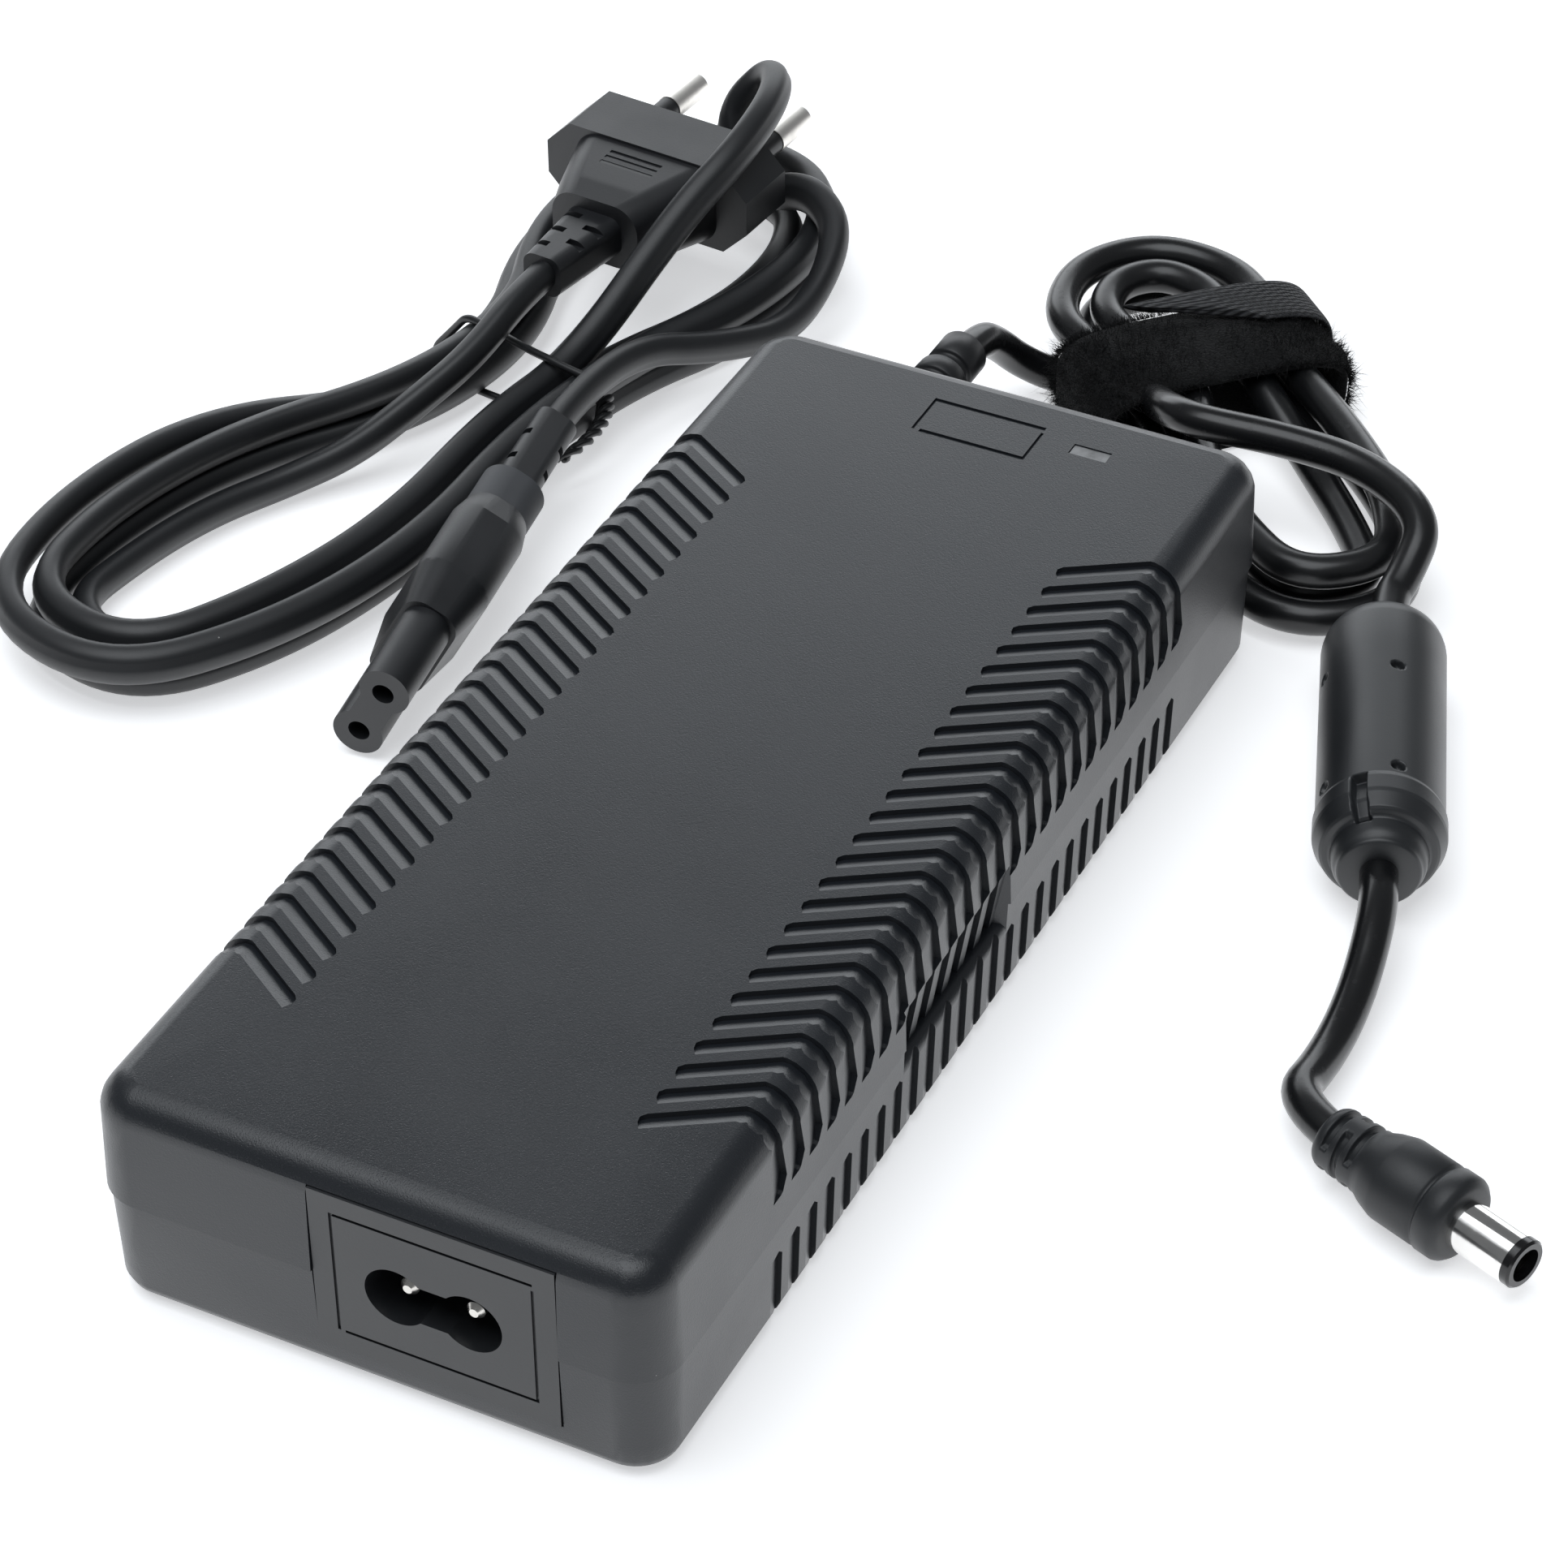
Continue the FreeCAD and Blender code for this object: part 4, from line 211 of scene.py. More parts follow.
def place_camera():
    """Camera at the photograph's own place, with its frame shifted as there."""
    camera = bpy.data.objects.new("camera", bpy.data.cameras.new("camera"))
    bpy.context.scene.collection.objects.link(camera)
    turn = CAMERA_LINE.to_track_quat("-Z", "Y") @ Quaternion((0, 0, 1), CAMERA_ROLL)
    camera.matrix_world = Matrix.Translation(CAMERA_PLACE) @ turn.to_matrix().to_4x4()
    camera.data.lens = CAMERA_LENS
    camera.data.sensor_width = 36
    camera.data.shift_x, camera.data.shift_y = CAMERA_SHIFT
    camera.data.clip_end = 20
    bpy.context.scene.camera = camera


def hank_knots(hank, size_at):
    """Eight knots a loop, each a place and the cord's direction there. A loop's size is counted in steps."""
    near, far = hank["lobes"]
    axis = (near["toward"] - far["toward"]).normalized()
    lower, upper = hank["layers"]
    knots = []
    for index in range(round(hank["loops"] * 8) + 1):
        size = size_at(index / 8)
        place = (index + 1) % 8
        height = UP * (lower if index < 8 * hank["turn_back"] else upper)
        if place in (0, 4):
            side = -1 if place == 0 else 1
            across = sideways(axis) * side
            out = hank["waist_half"] + hank["waist_step"] * size
            knots.append((hank["waist"] + across * out + height, axis * -side))
            continue
        lobe = near if place < 4 else far
        toward = lobe["toward"].normalized()
        step = place % 4 - 2
        growth = hank["lobe_step"] * size
        if step == 0:
            knots.append((hank["waist"] + toward * (lobe["end"] + growth) + height, sideways(toward)))
        else:
            out = sideways(toward) * (step * (lobe["half_width"] + growth))
            knots.append((hank["waist"] + toward * lobe["widest"] + out + height, toward * -step))
    return knots


def hank_points(hank, size_at):
    """Control points of a hank: between one knot and the next lie two corners, where the tangents of the two
    arcs that join the knots meet, and both ends run on a little."""
    knots = hank_knots(hank, size_at)
    first, first_way = knots[0]
    last, last_way = knots[-1]
    points = [first - first_way * hank["run_on"]]
    for (start, start_way), (end, end_way) in zip(knots, knots[1:]):
        chord = end - start
        ways = start_way + end_way
        spread = 4 - ways.dot(ways)
        if spread < 1e-6:
            reach = chord.dot(chord) / (4 * chord.dot(start_way))
        else:
            forward = chord.dot(ways)
            reach = (math.sqrt(forward ** 2 + spread * chord.dot(chord)) - forward) / spread
        points += [start + start_way * reach, end - end_way * reach]
    points.append(last + last_way * hank["run_on"])
    return points


def smooth_line(name, points):
    """Points along one NURBS spline that has the route's points as its control points."""
    curve = bpy.data.curves.new(name, "CURVE")
    curve.dimensions = "3D"
    spline = curve.splines.new("NURBS")
    spline.points.add(len(points) - 1)
    for place, point in zip(spline.points, points):
        place.co = (*point, 1)
    spline.order_u = 3
    spline.use_endpoint_u = True
    spline.resolution_u = 10
    line = bpy.data.objects.new(name, curve)
    bpy.context.scene.collection.objects.link(line)
    bpy.context.view_layer.update()
    mesh = bpy.data.meshes.new_from_object(line.evaluated_get(bpy.context.evaluated_depsgraph_get()))
    places = np.empty(len(mesh.vertices) * 3)
    mesh.vertices.foreach_get("co", places)
    bpy.data.objects.remove(line)
    bpy.data.meshes.remove(mesh)
    places = places.reshape(-1, 3)
    apart = np.linalg.norm(np.diff(places, axis=0), axis=1) > 1e-6
    return places[np.concatenate([[True], apart])]


def frames_along(path, lean_to):
    """Unit directions along a path, and two across it, the second leaning to the given direction."""
    along = unit(np.gradient(path, axis=0))
    second = unit(lean_to - along * (along @ lean_to)[:, None])
    return along, np.cross(along, second), second


def mesh_from_grid(name, grid, closed_round=True, capped=True):
    """Mesh of a grid of points: one row for each place along, one column for each place round."""
    rows, columns = grid.shape[:2]
    last = columns if closed_round else columns - 1
    i, j = np.meshgrid(np.arange(rows - 1), np.arange(last), indexing="ij")
    k = (j + 1) % columns
    quads = np.stack([i * columns + j, i * columns + k, (i + 1) * columns + k, (i + 1) * columns + j],
                     axis=-1)
    faces = quads.reshape(-1, 4).tolist()
    if closed_round and capped:
        faces.append(list(range(columns))[::-1])
        faces.append([(rows - 1) * columns + j for j in range(columns)])
    mesh = bpy.data.meshes.new(name)
    mesh.from_pydata(grid.reshape(-1, 3).tolist(), [], faces)
    mesh.polygons.foreach_set("use_smooth", [True] * len(mesh.polygons))
    mesh.update()
    return mesh


def put_surface_places(mesh, along, across):
    """Keeps each vertex's place on its own surface, which the patterns that follow the surface read."""
    places = np.stack([along, across, np.zeros_like(along)], axis=1)
    attribute = mesh.attributes.new("surface", "FLOAT_VECTOR", "POINT")
    attribute.data.foreach_set("vector", places.ravel())


def piece_from(name, mesh, body, *replaced):
    """Object with the mesh, which rides on a body and takes the place of the named nodes."""
    piece = bpy.data.objects.new(name, mesh)
    bpy.context.scene.collection.objects.link(piece)
    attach(piece, body)
    if replaced:
        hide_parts(*replaced)
    return piece


def tube_along(name, path, profile, lean=0):
    """Tube with a constant section: each profile point is (across, up) from the path, turned by the lean."""
    along, across, up = frames_along(path, UPWARD)
    turned = profile @ np.array([[math.cos(lean), math.sin(lean)], [-math.sin(lean), math.cos(lean)]])
    grid = path[:, None] + across[:, None] * turned[None, :, :1] + up[:, None] * turned[None, :, 1:]
    mesh = mesh_from_grid(name, grid)
    travelled = np.concatenate([[0], np.cumsum(np.linalg.norm(np.diff(path, axis=0), axis=1))])
    around = np.linspace(0, 1, len(profile), endpoint=False)
    put_surface_places(mesh, np.repeat(travelled, len(profile)), np.tile(around, len(path)))
    return mesh


def full_turn(count):
    """Angles evenly round a circle, the last one short of the first."""
    return np.linspace(0, FULL_CIRCLE, count, endpoint=False)


def round_section(radius, count=24):
    """Points of a circle."""
    turn = full_turn(count)
    return np.stack([np.cos(turn), np.sin(turn)], axis=1) * radius


def twin_section(thickness, width, count=36):
    """Section of a flat two-core cord: an oval with a shallow groove along the middle of each side."""
    turn = full_turn(count)
    height = np.sin(turn)
    groove = 1 - MAINS_GROOVE["depth"] * np.exp(-(height / MAINS_GROOVE["spread"]) ** 2)
    side = np.cos(turn) * groove * (1 - MAINS_ROUNDING * height ** 4)
    swell = 1 / np.max(np.abs(side))
    return np.stack([side * swell * thickness / 2, height * width / 2], axis=1)


def dc_cord_points():
    """Route of the low-voltage cord. Its loops get smaller up to the turn back, and larger after it."""
    hank = hank_points(DC_HANK, lambda turns: abs(turns - DC_HANK["turn_back"]))
    toward = (FERRITE_BOTTOM - FERRITE_TOP).normalized()
    plug_start = PLUG_TIP - PLUG_TOWARD * PLUG_LENGTH
    points = [RELIEF_TIP - Vector((0, RELIEF_DEPTH, 0))] + [Vector(p) for p in DC_LEAD] + hank
    points += [Vector(p) for p in DC_LINK]
    points += [FERRITE_TOP - toward * FERRITE_LEAD, FERRITE_BOTTOM, FERRITE_BOTTOM + toward * FERRITE_LEAD]
    points += [Vector(p) for p in DC_TAIL]
    points += [plug_start - PLUG_TOWARD * PLUG_LEAD, plug_start + PLUG_TOWARD * PLUG_DEPTH]
    return points


def mains_cord_points():
    """Route of the mains cord. Its loops get larger up to the turn back, and smaller after it."""
    hank = hank_points(MAINS_HANK, lambda turns: min(turns, 2 * MAINS_HANK["turn_back"] - turns))
    plug_end = MAINS_PLUG_FACE - MAINS_PLUG_TOWARD * MAINS_PLUG_START
    points = [plug_end, plug_end - MAINS_PLUG_TOWARD * MAINS_PLUG_LEAD]
    points += [Vector(p) for p in MAINS_PLUG_END] + hank
    points += [Vector(p) for p in MAINS_OVER]
    points += [CONNECTOR_END + CONNECTOR_TOWARD * CONNECTOR_LEAD,
               CONNECTOR_END - CONNECTOR_TOWARD * CONNECTOR_DEPTH]
    return points


def rounded_loop(half_width, half_height, power, count=240):
    """Closed superellipse: |x / a| ^ p + |z / b| ^ p = 1, drawn at even angles."""
    turn = full_turn(count)
    x = powered(np.cos(turn), 2 / power) * half_width
    z = powered(np.sin(turn), 2 / power) * half_height
    return np.stack([x, z], axis=1)


def waist_frame(hank, shift=0, top=0):
    """Middle of a hank's waist, the way the cords run there and the way across them."""
    near, far = hank["lobes"]
    axis = (near["toward"] - far["toward"]).normalized()
    axis = np.array([axis.x, axis.y, 0])
    across = np.array([-axis[1], axis[0], 0])
    return np.array(hank["waist"]) + across * shift + np.array([0, 0, top / 2]), axis, across


def on_loop(loop, turn):
    """Points of a closed loop at the given turns, and the outward direction there."""
    even = full_turn(len(loop))

    def at(turns):
        return np.stack([np.interp(turns, even, loop[:, k], period=FULL_CIRCLE) for k in (0, 1)], axis=-1)

    ahead = at(turn + 0.02) - at(turn - 0.02)
    return at(turn), unit(np.stack([ahead[..., 1], -ahead[..., 0]], axis=-1))


def band_edge(count):
    """Section of a band with rounded edges, as shares of its width and its thickness."""
    turn = full_turn(count)
    return np.stack([(1 + powered(np.cos(turn), 0.35)) / 2, (powered(np.sin(turn), 0.8) - 1) / 2], axis=1)


def puff(turn, share):
    """Soft lumps of a fluffy band, between 0 and 1: a sum of sines round the loop and across the band."""
    wave = np.sin(5 * turn + 3 * share) + 0.7 * np.sin(11 * turn - 6 * share + 1)
    wave = wave + 0.5 * np.sin(9 * share + 2 * turn)
    middle = np.clip(np.sin(np.pi * np.clip(share, 0, 1)) * 1.6, 0, 1)
    return np.clip(0.5 + wave * 0.24, 0, 1) * middle


def band_mesh(name, place, loop, thickness, span, swelling=0, arc=None, slant=0):
    """Band whose section is carried along the loop, all round or over an arc. It swells outward in soft
    lumps, and the end of an arc is cut on the slant."""
    centre, axis, across = place
    edge = band_edge(44)
    share = edge[None, :, 0]
    if arc is None:
        turn = np.repeat(np.linspace(0, FULL_CIRCLE, 241)[:, None], len(edge), axis=1)
    else:
        step = np.linspace(0, 1, 141)[:, None]
        turn = arc[0] + (arc[1] - arc[0] + slant * (share - 0.5)) * step
    here, outward = on_loop(loop, turn)
    lift = edge[None, :, 1] * thickness
    lift = lift + swelling * puff(turn, share) * (edge[None, :, 1] > -0.5)
    ring = here + outward * lift[..., None]
    width = span[1] - span[0]
    lengthwise = span[0] + width * share + BAND_WAVER * np.sin(3 * turn + 1)
    grid = centre + across * ring[..., :1] + UPWARD * ring[..., 1:] - axis * lengthwise[..., None]
    grid[..., 2] = np.maximum(grid[..., 2], FLOOR_GAP)
    mesh = mesh_from_grid(name, grid, capped=arc is not None)
    travelled = np.cumsum(np.linalg.norm(np.diff(grid[:, 0], axis=0, prepend=grid[:1, 0]), axis=1))
    put_surface_places(mesh, np.repeat(travelled, len(edge)), np.tile(edge[:, 0] * width, len(grid)))
    return mesh


def make_cords():
    """Both cords as tubes along their smooth lines, and the lines themselves."""
    dc_path = smooth_line("dc_cord", dc_cord_points())
    dc_tube = tube_along("dc_cord", dc_path, round_section(DC_DIAMETER / 2))
    dc_cord = piece_from("dc_cord", dc_tube, "adapter", "dc_cord_lead", "dc_cord_hank", "dc_cord_link",
                         "dc_cord_tail")
    mains_path = smooth_line("mains_cord", mains_cord_points())
    mains_tube = tube_along("mains_cord", mains_path, twin_section(MAINS_THICKNESS, MAINS_WIDTH), MAINS_LEAN)
    mains_cord = piece_from("mains_cord", mains_tube, "mains_lead", "mains_cord_plug_end", "mains_cord_hank",
                            "mains_cord_over")
    return dc_cord, dc_path, mains_cord, mains_path


def fibre_mesh(name, roots, ways, lengths, bends):
    """Thin three-sided fibres that taper to a point, each bent away from the way it leaves its root."""
    side = unit(np.cross(ways, bends + 1e-9))
    third = np.cross(ways, side)
    middle = roots + ways * lengths[:, None] * 0.55
    tip = roots + ways * lengths[:, None] * 0.9 + bends * lengths[:, None]
    turn = full_turn(3)
    spoke = side[:, None] * np.cos(turn)[None, :, None] + third[:, None] * np.sin(turn)[None, :, None]
    base = roots[:, None] + spoke * FIBRE_RADIUS
    waist = middle[:, None] + spoke * FIBRE_RADIUS * 0.8
    points = np.concatenate([base, waist, tip[:, None]], axis=1)
    faces = [(0, 2, 1)]
    for corner in range(3):
        after = (corner + 1) % 3
        faces += [(corner, after, after + 3), (corner, after + 3, corner + 3), (corner + 3, after + 3, 6)]
    faces = np.array(faces)[None] + np.arange(len(roots))[:, None, None] * points.shape[1]
    mesh = bpy.data.meshes.new(name)
    mesh.from_pydata(points.reshape(-1, 3).tolist(), [], faces.reshape(-1, 3).tolist())
    mesh.update()
    return mesh


def make_pile(place, loop):
    """Fibres of the loop fabric: they stand on the band's outer face and on its edges, and lean at random.
    None stands under the tape or close to the floor."""
    centre, axis, across = place
    chance = np.random.default_rng(7)
    turn = chance.random(PILE_FIBRES) * FULL_CIRCLE
    share = np.clip(chance.normal(0.5, 0.45, PILE_FIBRES), 0.01, 0.99)
    point, out = on_loop(loop, turn)
    point = point + out * (PILE_PUFF * puff(turn, share) - PILE_ROOT_DEPTH)[:, None]
    outward = across * out[:, :1] + UPWARD * out[:, 1:]
    start, end = PILE_BAND
    lengthwise = start + (end - start) * share
    roots = centre + across * point[:, :1] + UPWARD * point[:, 1:] - axis * lengthwise[:, None]
    edgeward = np.where(share > 0.94, -1.0, np.where(share < 0.06, 1.0, 0.0))
    ways = outward + axis * edgeward[:, None] * 1.2 + chance.normal(0, 0.5, (PILE_FIBRES, 3))
    ways = unit(ways)
    bends = chance.normal(0, 0.5, (PILE_FIBRES, 3))
    lengths = PILE_LENGTH * (0.35 + chance.random(PILE_FIBRES) ** 2 * 0.9)
    covered = np.mod(turn - TAPE_TURN[0], FULL_CIRCLE) < TAPE_TURN[1] - TAPE_TURN[0]
    covered &= lengthwise > TAPE_BAND[0] + TAPE_EDGE
    low = roots[:, 2] < PILE_CLEAR_OF_FLOOR
    low |= roots[:, 2] + ways[:, 2] * lengths < PILE_CLEAR_OF_FLOOR * 0.8
    kept = ~(covered | low)
    return fibre_mesh("strap_pile", roots[kept], ways[kept], lengths[kept], bends[kept])


def make_strap():
    """Band, tape and pile of the strap, all laid round the same loop."""
    place = waist_frame(DC_HANK, STRAP_SHIFT, STRAP_TOP)
    outer = rounded_loop(STRAP_HALF_WIDTH + STRAP_THICKNESS, STRAP_TOP / 2, STRAP_SQUARENESS)
    lifted = rounded_loop(STRAP_HALF_WIDTH + STRAP_THICKNESS + TAPE_LIFT[0], STRAP_TOP / 2 + TAPE_LIFT[1],
                          STRAP_SQUARENESS)
    band = band_mesh("strap_band", place, outer, STRAP_THICKNESS, PILE_BAND, PILE_PUFF)
    tape = band_mesh("strap_tape", place, lifted, TAPE_THICKNESS, TAPE_BAND, arc=TAPE_TURN, slant=TAPE_SLANT)
    pile = make_pile(place, outer)
    return (piece_from("strap_band", band, "adapter", "cable_strap"),
            piece_from("strap_tape", tape, "adapter"), piece_from("strap_pile", pile, "adapter"))


def crossings(path, place):
    """Where a path crosses the plane through a bundle's middle: places across it and above the floor."""
    centre, axis, across = place
    reach = (path - centre) @ axis
    found = np.nonzero(reach[:-1] * reach[1:] < 0)[0]
    share = (reach[found] / (reach[found] - reach[found + 1]))[:, None]
    points = path[found] + (path[found + 1] - path[found]) * share
    return np.stack([(points - centre) @ across, points[:, 2] - centre[2]], axis=1)


def tie_line(path):
    """Line of the wire round the cords: at each turn it lies a cord's radius outside the outermost one."""
    centre, axis, across = waist_frame(MAINS_HANK)
    spots = crossings(path, (centre, axis, across))
    spots = spots[(np.abs(spots[:, 0]) < TIE_HALF_WIDTH) & (spots[:, 1] < TIE_TOP)]
    way = round_section(1, 240)
    loop = spots[np.argmax(way @ spots.T, axis=1)] + way * (MAINS_WIDTH / 2 - TIE_PRESS + TIE_WIRE / 2)
    loop[:, 1] = np.maximum(loop[:, 1], TIE_WIRE / 2 + FLOOR_GAP)
    closed = np.concatenate([loop, loop[:1]])
    steps = np.concatenate([[0], np.cumsum(np.linalg.norm(np.diff(closed, axis=0), axis=1))])
    even = np.linspace(0, steps[-1], 160, endpoint=False)
    loop = np.stack([np.interp(even, steps, closed[:, k]) for k in (0, 1)], axis=1)
    drift = np.sin(2 * full_turn(len(loop))) * TIE_DRIFT
    return centre + across * loop[:, :1] + UPWARD * loop[:, 1:] + axis * drift[:, None], axis


def make_tie(path):
    """Wire pulled tight round the cords. Its two ends are wound round each other as a double helix."""
    line, axis = tie_line(path)
    ahead = unit(np.roll(line, -1, axis=0) - np.roll(line, 1, axis=0))
    side = unit(np.cross(ahead, axis))
    third = np.cross(side, ahead)
    section = round_section(TIE_WIRE / 2, 14)
    grid = line[:, None] + side[:, None] * section[None, :, :1] + third[:, None] * section[None, :, 1:]
    mesh = mesh_from_grid("tie_ring", np.concatenate([grid, grid[:1]]), capped=False)
    ring = piece_from("tie_ring", mesh, "mains_lead", "cable_tie")
    root = line[np.argmax(line[:, 0])] + np.array([TIE_WIRE / 2, 0, 0])
    reach = unit(np.array(TWIST_TOWARD))
    first = unit(np.cross(reach, UPWARD))
    second = np.cross(reach, first)
    share = np.linspace(0, 1, 110)[:, None]
    middle = root + reach * share * TWIST_LENGTH + np.array(TWIST_CURL) * share ** 2 * TWIST_LENGTH * 0.7
    tails = []
    for letter, phase in (("a", 0), ("b", np.pi)):
        angle = share * TWIST_TURNS * FULL_CIRCLE + phase
        radius = TIE_WIRE * (0.75 - 0.3 * share)
        twisted = middle + (first * np.cos(angle) + second * np.sin(angle)) * radius
        twisted[:, 2] = np.maximum(twisted[:, 2], TIE_WIRE / 2)
        name = "tie_tail_" + letter
        tube = tube_along(name, twisted, round_section(TIE_WIRE * 0.45, 12))
        tails.append(piece_from(name, tube, "mains_lead"))
    return ring, *tails


def turned_frame(toward):
    """Across and up of a turned piece, as its angles are counted from up."""
    across = toward.cross(UP).normalized()
    return np.array(toward), np.array(across), np.array(across.cross(toward))


def softened(profile, bevel):
    """Profile with each inner corner replaced by two points, one bevel before and one after it."""
    points = np.array(profile)
    steps = np.linalg.norm(np.diff(points, axis=0), axis=1)
    before = np.minimum(bevel, steps[:-1] * 0.4)[:, None]
    after = np.minimum(bevel, steps[1:] * 0.4)[:, None]
    back = (points[:-2] - points[1:-1]) / steps[:-1, None]
    ahead = (points[2:] - points[1:-1]) / steps[1:, None]
    corners = np.stack([points[1:-1] + back * before, points[1:-1] + ahead * after], axis=1).reshape(-1, 2)
    return np.concatenate([points[:1], corners, points[-1:]])


def turned_mesh(name, profile, base, toward, dent=None, count=96, start=0.0):
    """Profile turned about its axis, less the dent, which is a depth at each (along, around) in radians."""
    line, across, up = turned_frame(toward)
    around = start + full_turn(count)
    radius = np.repeat(profile[:, 1:], len(around), axis=1)
    if dent is not None:
        radius = radius - dent(profile[:, :1], around[None, :], radius)
    spoke = up[None] * np.cos(around)[:, None] + across[None] * np.sin(around)[:, None]
    grid = np.array(base) + line * profile[:, None, :1] + spoke[None] * radius[..., None]
    return mesh_from_grid(name, grid[:, ::-1])


def close_lines(coarse, spots, reach, fine):
    """Even lines, with closer ones round each spot."""
    extra = [np.arange(spot - reach, spot + reach, fine) for spot in spots]
    return np.unique(np.round(np.concatenate([coarse] + extra), 7))


def refined(outline, lines, ends):
    """Profile that has the given lines between its ends, and its own points beyond them."""
    start, end = ends
    inner = lines[(lines > start) & (lines < end)]
    body = np.stack([inner, np.interp(inner, outline[1:-1, 0], outline[1:-1, 1])], axis=1)
    return np.concatenate([outline[outline[:, 0] <= start], body, outline[outline[:, 0] >= end]])


def slope(distance, edge, width):
    """Full at distances under the edge, and falling to nothing over the width."""
    return np.clip((edge - distance) / width, 0, 1)


def make_ferrite():
    """Sleeve with a domed end, a raised shoulder, a boss at the cord, small vent holes and one notch."""
    outline = softened(FERRITE_PROFILE, FERRITE_BEVEL)
    near, far = FERRITE_NOTCH["along"]
    lines = close_lines(outline[1:-1, 0], sorted({place for place, turn in FERRITE_HOLES}), 0.0021, 0.00015)
    lines = close_lines(lines, [(near + far) / 2], 0.0048, 0.0002)

    def dent(along, angle, radius):
        depth = np.zeros_like(radius)
        for place, turn in FERRITE_HOLES:
            off = np.hypot(along - place, (angle - math.radians(turn)) * radius) / FERRITE_HOLE_RADIUS
            depth = np.maximum(depth, FERRITE_HOLE_DEPTH * slope(off, 1.25, 0.3))
        off = np.abs(angle - math.radians(FERRITE_NOTCH["around"])) * radius / FERRITE_NOTCH["half_width"]
        inside = slope(off, 1.15, 0.25) * slope(near, along, 0.0003) * slope(along, far, 0.0003)
        return np.maximum(depth, FERRITE_NOTCH["depth"] * inside)

    mesh = turned_mesh("ferrite_sleeve", refined(outline, lines, FERRITE_ENDS), FERRITE_TOP,
                       (FERRITE_BOTTOM - FERRITE_TOP).normalized(), dent, 360, -np.pi)
    return piece_from("ferrite_sleeve", mesh, "adapter", "ferrite_housing")


def make_plug_grip():
    """Grip of the barrel plug, with rings round its relief where the mould has slots."""
    outline = softened(GRIP_PROFILE, MOULD_BEVEL)
    lines = close_lines(outline[:, 0], GRIP_RINGS, 0.0008, 0.0001)

    def dent(along, angle, radius):
        depth = np.zeros_like(radius)
        for number, place in enumerate(GRIP_RINGS):
            ring = slope(np.abs(along - place), GRIP_RING_HALF_WIDTH, 0.00015)
            side = np.abs(np.cos(angle + number % 2 * np.pi / 2))
            depth = np.maximum(depth, GRIP_RING_DEPTH * ring * slope(0.35, side, 0.1))
        return depth

    mesh = turned_mesh("plug_grip", refined(outline, lines, GRIP_ENDS), PLUG_TIP - PLUG_TOWARD * PLUG_LENGTH,
                       PLUG_TOWARD, dent)
    return piece_from("plug_grip", mesh, "adapter", "dc_plug_body")


def make_relief():
    """Grommet at the brick's end: a collar inside the wall, a neck through it and ribs that taper outside."""
    profile = list(RELIEF_PROFILE)
    pitch = (RELIEF_LENGTH - 2 * RELIEF_ROOT) / RELIEF_RIBS
    for rib in range(RELIEF_RIBS):
        start = RELIEF_ROOT + rib * pitch
        groove_end = start + pitch * 0.35
        radius = RELIEF_RADIUS - RELIEF_TAPER * (rib + 1) / RELIEF_RIBS
        profile += [(start, radius + 0.0003), (start, radius - RELIEF_GROOVE),
                    (groove_end, radius - RELIEF_GROOVE), (groove_end, radius)]
    profile += [(RELIEF_LENGTH, RELIEF_RADIUS - RELIEF_TAPER), (RELIEF_LENGTH, 0.0026)]
    base = RELIEF_TIP - Vector((0, RELIEF_LENGTH, 0))
    mesh = turned_mesh("cord_relief", softened(profile, MOULD_BEVEL), base, Vector((0, 1, 0)))
    return piece_from("cord_relief", mesh, "adapter", "dc_strain_relief")


def stays_sharp(edge):
    """Whether an edge is a clear corner, or the shallow ridge where a vent slot's floor leaves the wall."""
    if len(edge.link_faces) != 2:
        return True
    step = edge.calc_face_angle(0)
    level, sloping = sorted(abs(face.normal.y) for face in edge.link_faces)
    return step > SMOOTH_UP_TO or (step > RIDGE_FROM and level < 0.02 and 0.2 < sloping < 0.5)


def finished(name, body):
    """Copy of a plain rigid piece with its doubled corners merged, so that its rounded edges look round."""
    mesh = nodes[name].data.copy()
    for kept in ("custom_normal", "sharp_edge", "sharp_face"):
        if kept in mesh.attributes:
            mesh.attributes.remove(mesh.attributes[kept])
    work = bmesh.new()
    work.from_mesh(mesh)
    bmesh.ops.remove_doubles(work, verts=work.verts, dist=SAME_PLACE)
    bmesh.ops.dissolve_degenerate(work, edges=work.edges, dist=SAME_PLACE)
    work.normal_update()
    for face in work.faces:
        face.smooth = True
    for edge in work.edges:
        edge.smooth = not stays_sharp(edge)
    work.to_mesh(mesh)
    work.free()
    piece = piece_from(name + "_finished", mesh, body, name)
    even = piece.modifiers.new("even_shading", "WEIGHTED_NORMAL")
    even.keep_sharp = True
    even.weight = 60
    nodes[name] = piece


